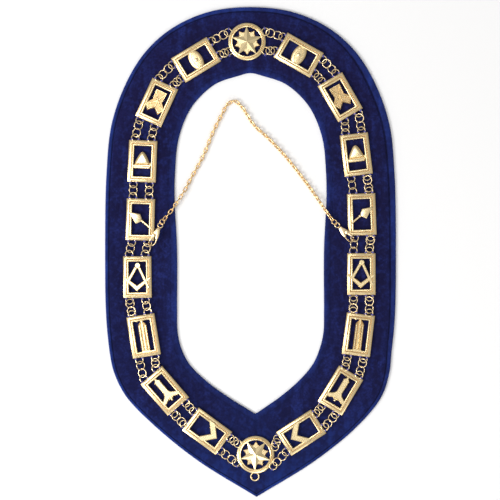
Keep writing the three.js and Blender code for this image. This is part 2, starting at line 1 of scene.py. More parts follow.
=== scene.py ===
# %% [markdown]
# # A chain of office on its velvet collar
#
# The real thing is a flat V-shaped collar of navy velvet with a chain of thin cast, pale gilt
# pieces sewn on it. It lies on a white table and is seen from straight above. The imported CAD
# part gives every place and size. This script dresses it: it keeps the frame as it is, and
# builds a finer piece over each plain solid.

import math

import bmesh
import bpy
from mathutils import Matrix, Vector, noise


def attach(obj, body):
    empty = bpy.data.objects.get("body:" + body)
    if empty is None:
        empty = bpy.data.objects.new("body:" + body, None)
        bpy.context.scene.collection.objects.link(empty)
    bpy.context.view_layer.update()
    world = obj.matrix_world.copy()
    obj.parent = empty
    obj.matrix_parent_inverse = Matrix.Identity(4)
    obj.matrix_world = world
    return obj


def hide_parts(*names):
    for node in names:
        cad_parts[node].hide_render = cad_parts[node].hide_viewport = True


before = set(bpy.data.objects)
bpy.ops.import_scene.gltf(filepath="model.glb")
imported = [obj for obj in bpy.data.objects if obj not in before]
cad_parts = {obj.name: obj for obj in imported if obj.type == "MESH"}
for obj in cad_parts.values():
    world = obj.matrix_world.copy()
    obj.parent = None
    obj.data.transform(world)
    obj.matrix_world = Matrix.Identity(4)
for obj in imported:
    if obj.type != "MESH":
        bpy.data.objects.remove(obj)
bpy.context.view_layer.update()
MM = 0.001

# %% [markdown]
# ## The camera
#
# The photograph looks straight down. One millimetre on the table is one pixel of its
# 500 pixels, and it holds for the castings, some 3 mm over the table. A parallel camera could
# show that, but a real lens high above the middle of the frame is closer to a photograph. The
# lens is long because a long one barely shows the inner walls of the panels.

# %% Camera straight above
CAMERA_HEIGHT = 2.4
CASTINGS_HEIGHT = 0.003
PICTURE_WIDTH = 0.5
PICTURE_MIDDLE = (-0.0005, 0.002)
FILM_WIDTH = 36.0
camera_data = bpy.data.cameras.new("camera")
camera_data.sensor_width = FILM_WIDTH
camera_data.lens = FILM_WIDTH * CAMERA_HEIGHT / PICTURE_WIDTH
camera_data.clip_start, camera_data.clip_end = 0.1, 20.0
camera = bpy.data.objects.new("camera", camera_data)
camera.location = (*PICTURE_MIDDLE, CAMERA_HEIGHT + CASTINGS_HEIGHT)
bpy.context.scene.collection.objects.link(camera)
bpy.context.scene.camera = camera
print("camera lens", round(camera_data.lens), "mm")

# %% [markdown]
# ## Shader sums written as Python
#
# A finish is built from noises and masks that are added and multiplied. Linking Math nodes by
# hand hides what the sum says, so one small class wraps a socket and lets Python's own
# operators add the nodes. Any other node comes from one method with its settings and inputs.

# %% One class for node sums
class Flow:
    """A socket whose value can be added, multiplied and mixed like a number."""

    def __init__(self, tree, socket):
        self.tree, self.socket = tree, socket

    @staticmethod
    def node(tree, kind, inputs=None, **settings):
        made = tree.nodes.new(kind)
        for name, value in settings.items():
            setattr(made, name, value)
        for name, value in (inputs or {}).items():
            Flow.feed(tree, made.inputs[name], value)
        return made

    @staticmethod
    def feed(tree, socket, value):
        if isinstance(value, Flow):
            tree.links.new(value.socket, socket)
        elif isinstance(value, bpy.types.NodeSocket):
            tree.links.new(value, socket)
        else:
            socket.default_value = value

    def sum(self, operation, *others):
        made = Flow.node(self.tree, "ShaderNodeMath", operation=operation)
        for socket, value in zip(made.inputs, (self, *others)):
            Flow.feed(self.tree, socket, value)
        return Flow(self.tree, made.outputs[0])

    def __add__(self, other):
        return self.sum("ADD", other)

    __radd__ = __add__

    def __mul__(self, other):
        return self.sum("MULTIPLY", other)

    __rmul__ = __mul__

    def __sub__(self, other):
        return self.sum("SUBTRACT", other)

    def __rsub__(self, other):
        return (self * -1.0) + other

    def ramped(self, low, high):
        """Rises softly from nothing at low to one at high."""
        made = Flow.node(self.tree, "ShaderNodeMapRange",
                         {"Value": self, "From Min": low, "From Max": high},
                         interpolation_type="SMOOTHSTEP")
        return Flow(self.tree, made.outputs["Result"])

    def mix(self, first, second):
        """Goes from the first colour to the second where this value goes from nothing to one."""
        made = Flow.node(self.tree, "ShaderNodeMix", data_type="RGBA")
        Flow.feed(self.tree, made.inputs["Factor"], self)
        Flow.feed(self.tree, made.inputs[6], first)
        Flow.feed(self.tree, made.inputs[7], second)
        return Flow(self.tree, made.outputs[2])


print("a value can be added, taken away, multiplied, ramped and mixed")

# %% [markdown]
# Every finish starts in the same way: a Principled shader and the Object coordinates of its
# piece. Noise is the usual way to make a surface uneven without a picture. It reads the Object
# coordinates through a Mapping node, which stretches it into streaks where that is wanted.

# %% Start a finish, add a noise or a bump
def new_finish(name):
    material = bpy.data.materials.new(name)
    material.use_nodes = True
    tree = material.node_tree
    shader = tree.nodes["Principled BSDF"]
    where = Flow.node(tree, "ShaderNodeTexCoord").outputs["Object"]
    return material, tree, shader, where


def noise_of(tree, where, scale, detail=3.0, stretch=(1, 1, 1), turn=(0, 0, 0)):
    mapped = Flow.node(tree, "ShaderNodeMapping",
                       {"Vector": where, "Scale": stretch, "Rotation": turn})
    made = Flow.node(tree, "ShaderNodeTexNoise",
                     {"Vector": mapped.outputs[0], "Scale": scale, "Detail": detail})
    return Flow(tree, made.outputs["Fac"])


def bumped(tree, shader, height, strength, distance):
    made = Flow.node(tree, "ShaderNodeBump",
                     {"Height": height, "Strength": strength, "Distance": distance})
    tree.links.new(made.outputs[0], shader.inputs["Normal"])


print("every finish starts from a Principled shader in Object coordinates")

# %% [markdown]
# ## Plain floor and soft light
#
# The photograph has a white table that runs out of the picture and broad, even light. One
# large lamp to the lower left makes the slopes of the castings that face it bright, a weaker
# one below lifts the shadows, and one overhead on the left is mirrored by the flat tops there.
# Round area lamps are used because a small or distant lamp would leave hard shadows.

# %% Floor and lamps
FLOOR_REACH, FLOOR_DROP = 3.0, 0.0002
floor_mesh = bmesh.new()
bmesh.ops.create_grid(floor_mesh, x_segments=2, y_segments=2, size=FLOOR_REACH)
bmesh.ops.translate(floor_mesh, verts=floor_mesh.verts, vec=(0, 0, -FLOOR_DROP))
floor_data = bpy.data.meshes.new("floor")
floor_mesh.to_mesh(floor_data)
floor_mesh.free()
floor = bpy.data.objects.new("floor", floor_data)
bpy.context.scene.collection.objects.link(floor)
paper, _, paper_shader, _ = new_finish("white_table")
paper_shader.inputs["Base Color"].default_value = (0.93, 0.93, 0.93, 1)
paper_shader.inputs["Roughness"].default_value = 0.9
floor_data.materials.append(paper)


def lamp(name, place, aim, size, watts):
    data = bpy.data.lights.new(name, "AREA")
    data.shape, data.size, data.energy = "DISK", size, watts
    made = bpy.data.objects.new(name, data)
    made.location = place
    made.rotation_euler = (Vector(aim) - Vector(place)).to_track_quat("-Z", "Y").to_euler()
    bpy.context.scene.collection.objects.link(made)


lamp("window_lamp", place=(-1.8, -0.84, 1.67), aim=(0, 0, 0), size=1.0, watts=34)
lamp("fill_lamp", place=(0.35, -1.9, 1.6), aim=(0, 0, 0), size=1.2, watts=8)
lamp("ceiling_lamp", place=(-0.80, 0.07, 3.0), aim=(-0.80, 0.07, 0), size=1.2, watts=19)
print("lamps:", len(bpy.data.lights))

# %% [markdown]
# The world is not one even grey. It is brightest low on the left, where the room's window would
# be, and dimmer opposite, so that the slopes of the metal which face away have something darker
# to mirror. A sum on the world's own direction does that without a picture of a room.

# %% A world that is brighter on the window's side
TOWARDS_WINDOW = (-0.72, -0.54, 0.43)
WORLD_MEAN, WORLD_SWING, WORLD_LEAST = 0.485, 0.26, 0.12
world = bpy.data.worlds.new("studio")
world.use_nodes = True
sky = world.node_tree
direction = Flow.node(sky, "ShaderNodeTexCoord").outputs["Generated"]
facing_window = Flow(sky, Flow.node(sky, "ShaderNodeVectorMath", {0: direction, 1: TOWARDS_WINDOW},
                                    operation="DOT_PRODUCT").outputs["Value"])
backdrop = sky.nodes["Background"]
backdrop.inputs["Color"].default_value = (1.0, 0.99, 0.98, 1)
strength = (facing_window * WORLD_SWING + WORLD_MEAN).sum("MAXIMUM", WORLD_LEAST)
sky.links.new(strength.socket, backdrop.inputs["Strength"])
bpy.context.scene.world = world
bpy.context.scene.view_settings.view_transform = "Standard"
print("world strength:", WORLD_LEAST, "to", round(WORLD_MEAN + WORLD_SWING, 2))

# %% [markdown]
# ## Pale gilt
#
# The castings are plated in a pale champagne gold that is nearly white where it faces the lamps.
# Its grooves and hollows are painted tan and brown as shade, where less light reaches. A metal
# shader with a slightly uneven roughness gives the cast skin. The hollows could be found from the
# curvature alone, but it doesn't know how deep a place lies. So each casting carries a number per
# point, its painted hollow shade, which is read here and joined with painted shade in the sharp
# inner corners.

# %% Gilt finish
def attribute(tree, name):
    return Flow(tree, Flow.node(tree, "ShaderNodeAttribute", attribute_name=name).outputs["Fac"])


def gilt_finish(name, shade, painted_shade_tan, roughness):
    material, tree, shader, where = new_finish(name)
    grain = noise_of(tree, where, scale=900.0, detail=4.0)
    patches = noise_of(tree, where, scale=60.0, detail=2.0)
    geometry = Flow.node(tree, "ShaderNodeNewGeometry")
    # Painted shade: sharp inner corners and the marked hollows are mixed towards the tan colour.
    corner_shade = 1.0 - Flow(tree, geometry.outputs["Pointiness"]).ramped(0.40, 0.50)
    hollow_and_corner_shade = (attribute(tree, "hollow_shade") * (patches * 0.5 + 0.65)).sum("MAXIMUM", corner_shade * 0.75)
    color = hollow_and_corner_shade.mix((*shade, 1), (*painted_shade_tan, 1))
    tree.links.new(color.socket, shader.inputs["Base Color"])
    rough = patches * 0.10 + grain * 0.08 + hollow_and_corner_shade * 0.12 + roughness
    tree.links.new(rough.socket, shader.inputs["Roughness"])
    shader.inputs["Metallic"].default_value = 1.0
    bumped(tree, shader, grain * 0.6 + patches * 0.4, strength=0.25, distance=0.0002)
    return material


gilt = gilt_finish("pale_gilt", shade=(0.95, 0.762, 0.432), painted_shade_tan=(0.45, 0.265, 0.10), roughness=0.17)
wire_gilt = gilt_finish("ring_gilt", shade=(0.96, 0.75, 0.455), painted_shade_tan=(0.50, 0.31, 0.15),
                        roughness=0.16)
chain_gilt = gilt_finish("chain_gilt", shade=(1.0, 0.70, 0.35), painted_shade_tan=(0.42, 0.22, 0.08),
                         roughness=0.16)
print("gilt finishes:", gilt.name, wire_gilt.name, chain_gilt.name)

# %% [markdown]
# ## From a mesh to a piece
#
# All shapes are drawn in millimetres, at their own middle, and set in place before they become
# an object, because a piece's object has to sit unturned at the origin. One helper does what
# every piece needs: it closes the mesh, scales it to metres, shades it smooth up to a given
# angle, hangs it on the body it rides on, and hides the CAD nodes that it stands for.

# %% Make a piece of a mesh
def add_piece(name, bm, material, body, nodes=(), sharp=32, merge=True):
    """Turns a mesh in millimetres into a piece. Edges over sharp degrees stay sharp."""
    if merge:
        bmesh.ops.remove_doubles(bm, verts=bm.verts, dist=1e-4)
    bmesh.ops.recalc_face_normals(bm, faces=bm.faces)
    bmesh.ops.scale(bm, vec=(MM, MM, MM), verts=bm.verts)
    data = bpy.data.meshes.new(name)
    for face in bm.faces:
        face.smooth = True
    bm.to_mesh(data)
    bm.free()
    data.set_sharp_from_angle(angle=math.radians(sharp))
    data.materials.append(material)
    piece = bpy.data.objects.new(name, data)
    bpy.context.scene.collection.objects.link(piece)
    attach(piece, body)
    if nodes:
        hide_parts(*nodes)
    return piece


def paint_hollow_shade(bm, high, low):
    """Painted shade per point: nothing at the height high and above, one at low and below."""
    hollow_shade = bm.verts.layers.float.new("hollow_shade")
    for vert in bm.verts:
        vert[hollow_shade] = min(max((high - vert.co.z) / (high - low), 0.0), 1.0)


def new_since(bm, before):
    return [vert for vert in bm.verts if vert not in before]


print("pieces go into", bpy.context.scene.collection.name)

# %% [markdown]
# ## Bridged mouldings and spun rings
#
# A moulding could be swept along a path, but its corners would then need care. Here it is a
# stack of rectangles, each bridged to the next, and the mitres come by themselves. A ring is a
# small circle spun all the way round, and a round rim is its own profile spun round.

# %% Mouldings, rings and spun rims
def square_loop(bm, half_x, half_y, height):
    scale = Matrix.Diagonal((half_x, half_y, 1, 1)) @ Matrix.Rotation(math.pi / 4, 4, "Z")
    made = bmesh.ops.create_circle(bm, cap_ends=False, segments=4, radius=math.sqrt(2),
                                   matrix=Matrix.Translation((0, 0, height)) @ scale)
    return list({edge for vert in made["verts"] for edge in vert.link_edges})


def moulding(bm, half_x, half_y, profile):
    """Bridges a rectangle for each row (inset, height) of a closed profile."""
    loops = [square_loop(bm, half_x - inset, half_y - inset, height) for inset, height in profile]
    for first, second in zip(loops, loops[1:] + loops[:1]):
        bmesh.ops.bridge_loops(bm, edges=first + second)


def ring(bm, place, radius, wire, steps=40, sides=10, stretch=0.0):
    """A closed ring. stretch draws its two halves apart along X, which makes an oval link."""
    before = set(bm.verts)
    turned = Matrix.Translation((radius, 0, 0)) @ Matrix.Rotation(math.pi / 2, 4, "X")
    section = bmesh.ops.create_circle(bm, cap_ends=False, segments=sides, radius=wire / 2,
                                      matrix=turned)
    edges = list({edge for vert in section["verts"] for edge in vert.link_edges})
    bmesh.ops.spin(bm, geom=section["verts"] + edges, cent=(0, 0, 0), axis=(0, 0, 1),
                   angle=2 * math.pi, steps=steps, use_merge=True)
    made = new_since(bm, before)
    if stretch:
        for side in (-1, 1):
            half = [vert for vert in made if vert.co.x * side > 1e-6]
            bmesh.ops.translate(bm, verts=half, vec=(side * stretch / 2, 0, 0))
    bmesh.ops.transform(bm, matrix=place, verts=made)


def spun(bm, profile, steps=96):
    """Spins a closed profile of rows (radius, height) round the upright axis."""
    verts = [bm.verts.new((radius, 0, height)) for radius, height in profile]
    edges = [bm.edges.new(pair) for pair in zip(verts, verts[1:] + verts[:1])]
    bmesh.ops.spin(bm, geom=verts + edges, cent=(0, 0, 0), axis=(0, 0, 1),
                   angle=2 * math.pi, steps=steps, use_merge=True)


print("mouldings are bridged, rings and rims are spun")

# %% [markdown]
# ## Cast reliefs
#
# A flat outline is made a face and drawn up, and its top is drawn in, which leaves the sloping
# flanks that a casting needs to leave its mould. A bevel would do for straight edges, but an
# inset keeps its width round every corner of a pierced emblem. Drawn in several times, each
# time less steeply, the same outline becomes a soft pillow.

# %% Reliefs, pillows, domes and strips
DOME_TURNS = (0, 0.4, 0.8, 1.15)
PINHOLE = 1e-3


def relief(bm, outline, foot, wall, slope=0, rise=0):
    """Draws an outline up from foot to wall, then draws its top in and up by slope and rise."""
    face = bm.faces.new([bm.verts.new((x, y, foot)) for x, y in outline])
    face.normal_update()
    if face.normal.z < 0:
        face.normal_flip()
    made = bmesh.ops.extrude_face_region(bm, geom=[face])["geom"]
    top_verts = [item for item in made if isinstance(item, bmesh.types.BMVert)]
    top = [item for item in made if isinstance(item, bmesh.types.BMFace)]
    bmesh.ops.translate(bm, verts=top_verts, vec=(0, 0, wall - foot))
    if slope:
        bmesh.ops.inset_region(bm, faces=top, thickness=slope, depth=rise, use_even_offset=True)
    return top


def pillow(bm, outline, foot, wall, slope, rise, rounds=3):
    """A relief whose top is drawn in again and again, each time less steeply."""
    top = relief(bm, outline, foot, wall)
    for turn in range(rounds):
        depth = rise * ((rounds - turn) / sum(range(1, rounds + 1)))
        bmesh.ops.inset_region(bm, faces=top, thickness=slope / rounds, depth=depth,
                               use_even_offset=True)


def dome(bm, centre, radius, foot, height):
    """A round boss: a quarter profile spun round, closed underneath."""
    before = set(bm.verts)
    rows = [(radius * math.cos(turn), foot + height * math.sin(turn)) for turn in DOME_TURNS]
    spun(bm, [(PINHOLE, foot)] + rows + [(PINHOLE, foot + height)], steps=20)
    bmesh.ops.translate(bm, verts=new_since(bm, before), vec=(*centre, 0))


def arc(centre, radius, start, end, steps):
    """Points round a centre from one angle to another, in degrees."""
    turns = [math.radians(start + (end - start) * step / steps) for step in range(steps + 1)]
    x, y = centre
    return [(x + radius * math.cos(turn), y + radius * math.sin(turn)) for turn in turns]


def strip(start, end, width):
    """The four corners of a straight strip of a given width."""
    along = (Vector(end) - Vector(start)).normalized() * width / 2
    side = Vector((along.y, -along.x))
    corners = (Vector(start) + side, Vector(end) + side, Vector(end) - side, Vector(start) - side)
    return [tuple(corner) for corner in corners]


print("a dome has", len(DOME_TURNS) + 1, "rings of points over its foot")

# %% [markdown]
# ## Where each cast piece lies
#
# The eighteen castings follow the V of the velvet, but by hand, not at even distances, so an
# array along a curve can't place them. Each has a station instead: the place of its middle and
# how far its top leans to the right. The same stations place the panels, their cast loops and
# the jump rings between them, so that nothing drifts apart.

# %% Stations of the chain, in millimetres and degrees
CHAIN_BASE = 2.9
HALF_LENGTH, HALF_WIDTH = 20.9, 14.2
LOOP_RADIUS, LOOP_WIRE, LOOP_HEIGHT, LOOP_REACH, LOOP_SPREAD = 3.7, 1.1, 2.7, 2.25, 8.0
RIM_RADIUS = 18.7
MEDALLION_TURN = 27
STATIONS = {
    "top": (-3.5, 210.2, -1),
    "bottom": (5, -202.5, 5),
    "left": [(-54.4, 192, 58.8), (-93.7, 149.4, 24.7), (-108, 90.7, 2.4), (-110, 32.5, 1.5),
             (-113, -25, -0.5), (-106.8, -83.8, -9.2), (-85.6, -138.7, -40.8),
             (-43.3, -179, -53.8)],
    "right": [(48.2, 196.7, -60.4), (89.6, 154.7, -29.9), (105.7, 97.4, -7), (111.2, 37.6, -2),
              (110.8, -22, 0), (107.8, -82.7, 7.1), (89.9, -138.4, 31), (50.6, -180.5, 57)],
}
SIDES = {"left": -1, "right": 1}


def placing(station, height=CHAIN_BASE):
    """The matrix that sets a casting down at its station."""
    x, y, lean = station
    return Matrix.Translation((x, y, height)) @ Matrix.Rotation(-math.radians(lean), 4, "Z")


def on_casting(station, x, y):
    """Where a point of a casting comes to lie, seen from above."""
    return (placing(station, 0) @ Vector((x, y, 0))).to_2d()


def panel_loop(station, end, side):
    return on_casting(station, side * LOOP_SPREAD, end * (HALF_LENGTH + LOOP_REACH))


def loop_on_rim(up, side):
    turn = math.radians(up * MEDALLION_TURN)
    reach = RIM_RADIUS + LOOP_REACH
    return side * reach * math.cos(turn), reach * math.sin(turn)


def medallion_loop(station, up, side):
    return on_casting(station, *loop_on_rim(up, side))


print("stations:", 2 + len(STATIONS["left"]) + len(STATIONS["right"]))

# %% [markdown]
# ## The panels' moulded frame
#
# Each panel is a small rectangular casting: an outer band that rises gently inwards, a narrow
# groove and a rounded bead round the window, with mitred corners. The profile below says how far
# in and how high each step of the moulding lies. Four cast rings on the ends take the jump rings.

# %% Moulding of a panel and its cast loops
FRAME_PROFILE = [(0.0, 0.0), (0.0, 2.3), (0.08, 2.5), (0.3, 2.68), (1.5, 3.02), (2.3, 3.24),
                 (2.6, 3.28), (2.72, 3.1), (2.85, 2.5), (3.42, 2.45), (3.55, 2.9), (3.78, 3.36),
                 (4.1, 3.58), (4.6, 3.62), (5.05, 3.56), (5.4, 3.3), (5.62, 2.9), (5.7, 2.4),
                 (5.7, 0.0)]


def cast_loops(bm, places):
    for x, y in places:
        ring(bm, Matrix.Translation((x, y, LOOP_HEIGHT)), LOOP_RADIUS, LOOP_WIRE, steps=32)


def panel_blank():
    bm = bmesh.new()
    moulding(bm, HALF_WIDTH, HALF_LENGTH, FRAME_PROFILE)
    reach = HALF_LENGTH + LOOP_REACH
    cast_loops(bm, [(side * LOOP_SPREAD, end * reach) for side in (-1, 1) for end in (-1, 1)])
    return bm


print("steps in the moulding:", len(FRAME_PROFILE))

# %% [markdown]
# ## Ornaments in the windows
#
# Every window holds a small pierced emblem of the old building trades. They are cast in one
# with the frame: a plate whose ends run into the bars, with a raised part on it. They could be
# sculpted, but at this size an outline says all. Outlines are given in millimetres from the
# middle of the window, and each relief is drawn up and its top drawn in, which leaves the soft
# slopes of a casting. The numbers after an outline are its foot, the top of its wall, and how
# far its top is drawn in and lifted.
#
# First the four upper kinds: an eye, a tablet with ribs, a beehive on its board and a trowel.

# %% Eye, tablet, beehive and trowel
def eye(bm):
    ball = [(11.2 * x, 6.5 * y) for x, y in arc((0, 0), 1, 0, 345, 23)]
    pillow(bm, ball, 0.7, 2.45, 1.8, 0.5)
    for bow, thickness in ((3.9, 0.75), (-3.7, -0.75)):
        lid = [(x, bow * (1 - (x / 9.4) ** 2)) for x in range(-9, 10, 2)]
        lid += [(x, y - thickness) for x, y in reversed(lid)]
        relief(bm, lid, 2.3, 3.1, 0.2, 0.2)
    dome(bm, (0.2, 0.1), 2.5, 2.6, 0.75)


def tablet(bm):
    body = [(-6.0, 12.1), (-5.4, 7.0), (-5.0, 1.9), (-10.0, -3.9), (-5.7, -11.0), (0.0, -5.7),
            (5.7, -11.0), (10.0, -3.9), (5.0, 1.9), (5.4, 7.0), (6.0, 12.1)]
    relief(bm, body, 0.6, 2.1, 0.5, 0.4)
    pairs = [(5.4, 11.6, 0.3, 2.4), (0, 2.6, 4.6, -2.4), (4.6, -2.2, 8.8, -4.4),
             (8.9, -4.2, 5.6, -9.6), (5.6, -9.4, 1.2, -5.0)]
    ridges = [(side * x, y, side * end_x, end_y) for x, y, end_x, end_y in pairs
              for side in (-1, 1)]
    for x, y, end_x, end_y in ridges + [(0, 2.4, 0, -5.2)]:
        relief(bm, strip((x, y), (end_x, end_y), 1.5), 2.0, 2.95, 0.45, 0.6)
    relief(bm, strip((-5.8, 11.7), (5.8, 11.7), 1.2), 2.0, 2.95, 0.3, 0.45)
    for side in (-1, 1):
        relief(bm, strip((side * 5.5, 11.4), (side * 4.7, 2.2), 0.9), 2.0, 2.9, 0.25, 0.4)


def beehive(bm):
    hive = [(-8.0, -3.4), (-7.0, -0.2), (-5.2, 3.4), (-3.4, 6.6), (-1.8, 8.6), (-0.1, 9.3),
            (1.6, 8.6), (3.2, 6.6), (4.9, 3.4), (6.5, -0.2), (7.2, -3.0)]
    pillow(bm, hive, 0.6, 2.5, 2.2, 1.3, 4)
    board = [(-9.8, -4.4), (-8.4, -3.6), (7.4, -3.2), (8.4, -2.2), (9.8, -1.2), (9.8, -3.2),
             (8.2, -4.6), (7.0, -7.2), (-8.0, -7.2), (-9.8, -5.6)]
    relief(bm, board, 0.6, 2.7, 0.5, 0.45)
    relief(bm, strip((-8.4, -5.4), (7.2, -5.3), 1.1), 3.0, 3.35, 0.3, 0.15)
    dome(bm, (8.1, -2.1), 1.2, 2.7, 0.9)


def trowel(bm, side):
    """The blade lies over the bead. The right-hand trowel is the mirror image of the left."""
    blade = [(-11.7, 7.2), (-0.4, 5.3), (1.2, 1.2), (0.4, -2.0), (-4.6, -4.2), (-8.7, 3.0)]
    outline = [(-side * x, y) for x, y in blade]
    pillow(bm, outline, 0.9, 3.68, 0.9, 0.4)
    relief(bm, strip((-side * 1.0, -1.0), (-side * 10.8, -8.9), 1.9), 0.9, 3.4, 0.45, 0.5)
    dome(bm, (-side * 1.6, -1.4), 1.5, 3.0, 1.2)


print("upper kinds: eye, tablet, beehive, trowel")

# %% [markdown]
# The four lower kinds are a square laid over compasses, a fluted column, a level with its plumb
# and a plain square. The legs of the compasses stand higher than the square, whose arms run
# over the frame.

# %% Square and compasses, column, level and square
def square_and_compasses(bm):
    square_arms = [(-13.5, 1.0), (-13.5, -2.0), (-0.6, -14.2), (12.9, -2.2), (12.9, 1.0),
                   (-0.4, -8.6)]
    relief(bm, square_arms, 0.6, 3.4, 0.6, 0.6)
    relief(bm, strip((-1.4, 9.6), (-9.2, -4.0), 2.7), 0.8, 3.9, 0.5, 0.45)
    relief(bm, strip((1.7, 9.4), (11.2, -11.3), 2.5), 0.8, 4.0, 0.5, 0.45)
    relief(bm, arc((0.3, 11.5), 2.6, 0, 340, 17), 0.8, 4.2, 0.3, 0.2)


def column(bm):
    plate = [(-4.0, -16.0), (4.4, -16.0), (4.4, 10.4), (3.5, 12.4), (1.9, 13.6), (1.3, 16.6),
             (-0.9, 16.6), (-1.5, 13.6), (-3.1, 12.4), (-4.0, 10.4)]
    relief(bm, plate, 0.6, 2.1, 0.25, 0.2)
    for x, top in ((-2.85, 10.4), (3.25, 10.2)):
        rib = [(x - 0.9, -14.8), (x + 0.9, -14.8), (x + 0.9, top), (x, top + 1.9), (x - 0.9, top)]
        relief(bm, rib, 2.1, 3.0, 0.4, 0.5)
    shaft = [(-1.0, -14.8), (1.4, -14.8), (1.4, 13.4), (0.8, 16.3), (-0.4, 16.3), (-1.0, 13.4)]
    relief(bm, shaft, 2.1, 3.5, 0.5, 0.55)
    foot = [(-4.4, -17.3), (5.0, -17.3), (5.0, -15.6), (4.4, -14.4), (-3.8, -14.4), (-4.4, -15.6)]
    relief(bm, foot, 0.6, 3.5, 0.45, 0.45)
    dome(bm, (-4.6, 15.9), 1.5, 2.7, 0.9)


def level(bm):
    right = [(0.9, 15.5), (1.4, 13.4), (3.3, 11.6), (2.9, 10.4), (2.8, -2.2), (4.2, -4.4),
             (7.4, -6.6), (10.9, -8.2), (10.9, -11.0), (7.0, -11.2), (4.6, -10.0), (2.6, -9.2),
             (1.4, -9.0), (0.9, -11.6)]
    relief(bm, right + [(-x, y) for x, y in reversed(right)], 0.6, 3.2, 0.6, 0.55)
    for side in (-1, 1):
        dome(bm, (side * 2.0, -9.5), 0.8, 3.4, 0.7)
    dome(bm, (0, -11.3), 1.25, 2.7, 1.25)


def square(bm):
    arms = [(-11.2, 5.7), (-11.2, -1.8), (0.0, -12.2), (11.2, -1.8), (11.2, 5.7), (0.0, -4.6)]
    relief(bm, arms, 0.6, 3.3, 0.7, 0.55)


EMBLEMS = [("eye", eye), ("tablet", tablet), ("beehive", beehive), ("trowel", trowel),
           ("square_and_compasses", square_and_compasses), ("column", column), ("level", level),
           ("square", square)]
print("emblems:", len(EMBLEMS))

# %% [markdown]
# ## Sixteen panels
#
# A blank gets its emblem, is set down at its station and takes the place of the CAD node of the
# same name. Linked copies of one panel would be lighter, but each has to hold its own place in
# its mesh, so each is made anew. Only the trowel is turned over for the right side. The painted
# hollow shade is marked while the casting still lies flat: the groove and what is lower get the
# most of it.

# %% Cast the panels
for side_name, side in SIDES.items():
    for (emblem, draw), station in zip(EMBLEMS, STATIONS[side_name]):
        casting = panel_blank()
        draw(casting, side) if emblem == "trowel" else draw(casting)
        # Painted shade: the groove and what lies lower turn tan.
        paint_hollow_shade(casting, high=3.0, low=2.3)
        bmesh.ops.transform(casting, matrix=placing(station), verts=casting.verts)
        node = f"{emblem}_panel_{side_name}"
        add_piece(f"{node}_cast", casting, gilt, "collar", [node])
print("panels:", 2 * len(EMBLEMS))

# %% [markdown]
# ## Two star medallions
#
# A round rim with a sloping band, a groove and a raised inner bead carries a five-pointed star.
# The rim is a profile spun round, as a turner would make it. Of a star only one arm is written
# down, as angles from its tip and distances from the middle, and the arm is repeated five times.

# %% Rim and stars
RIM_PROFILE = [(18.7, 0.0), (18.7, 2.4), (18.55, 2.65), (18.2, 2.85), (16.9, 3.25), (16.7, 3.1),
               (16.6, 2.6), (16.4, 2.55), (16.3, 3.1), (16.05, 3.45), (15.6, 3.6), (15.1, 3.6),
               (14.8, 3.45), (14.55, 3.1), (14.5, 2.6), (14.5, 0.0)]
SHARP_ARM = ((0, 15.5), (36, 6.3))
NOTCHED_ARM = ((-30, 6.4), (-23, 9.3), (-17, 10.4), (-13, 9.9), (-1.5, 12.9), (1.5, 12.9),
               (13, 9.9), (17, 10.4), (23, 9.3), (30, 6.4))


def star_outline(arm, first):
    """Five times the corners (turn, reach) of an arm, the first arm at an angle in degrees."""
    outline = []
    for number in range(5):
        for turn, reach in arm:
            angle = math.radians(first + 72 * number + turn)
            outline.append((reach * math.cos(angle), reach * math.sin(angle)))
    return outline


print("corners of the stars:", 5 * len(SHARP_ARM), "and", 5 * len(NOTCHED_ARM))

# %% [markdown]
# The star is faceted: each point has a sharp ridge along its middle, so that one half of it is
# bright and the other is in shade. It could be built facet by facet, but poking its top face and
# lifting the new point makes all ten facets at once. A second, lower star with notched shoulders
# fills the gaps. The star of the lower medallion points down, and that medallion has a plain
# bail.

# %% Cast the medallions
BAIL_RADIUS, BAIL_WIRE, BAIL_DROP, BAIL_HEIGHT, BAIL_TURN = 4.0, 1.6, 3.2, 0.8, 3.4


def faceted_star(bm, outline, foot, wall, peak):
    """Raises a star outline and draws its top to one peak over the middle."""
    top = relief(bm, outline, foot, wall)
    peaked = bmesh.ops.poke(bm, faces=top)["verts"]
    bmesh.ops.translate(bm, verts=peaked, vec=(0, 0, peak - wall))


def medallion(points_down, star_turn):
    bm = bmesh.new()
    spun(bm, RIM_PROFILE)
    before = set(bm.verts)
    first = -90 if points_down else 90
    relief(bm, star_outline(NOTCHED_ARM, -first), 0.2, 2.3, 0.45, 0.4)
    faceted_star(bm, star_outline(SHARP_ARM, first), foot=0.1, wall=2.85, peak=4.75)
    turned = Matrix.Rotation(math.radians(star_turn), 3, "Z")
    bmesh.ops.rotate(bm, verts=new_since(bm, before), cent=(0, 0, 0), matrix=turned)
    # Painted shade: what lies low in the rim and round the stars turns tan.
    paint_hollow_shade(bm, high=2.8, low=2.1)
    corners = ((1, 1), (1, -1), (-1, -1), (-1, 1))
    cast_loops(bm, [loop_on_rim(up, side) for up, side in corners])
    if points_down:
        tail = Matrix.Translation((0, -RIM_RADIUS - BAIL_DROP, BAIL_HEIGHT))
        tail = Matrix.Rotation(math.radians(BAIL_TURN), 4, "Z") @ tail
        ring(bm, tail, BAIL_RADIUS, BAIL_WIRE, sides=12)
    return bm


for place, points_down, star_turn in (("top", False, 0.5), ("bottom", True, 2.5)):
    casting = medallion(points_down, star_turn)
    bmesh.ops.transform(casting, matrix=placing(STATIONS[place]), verts=casting.verts)
    add_piece(f"{place}_medallion_cast", casting, gilt, "collar", [f"{place}_medallion"],
              sharp=20)
print("medallions: 2")

# %% [markdown]
# ## Jump rings
#
# Two rings join the outer loops of neighbours and one joins the inner loops. Round wire rings
# can't lie flat inside a cast loop, so each leans the other way from the next. A rigid body
# simulation could drop them in place, but it would fall out a little differently with every
# change. A short search gives the same rings each time: where two hang in each other, they are
# moved aside until they touch, and a strand leans no more than lets it clear the cast loops.

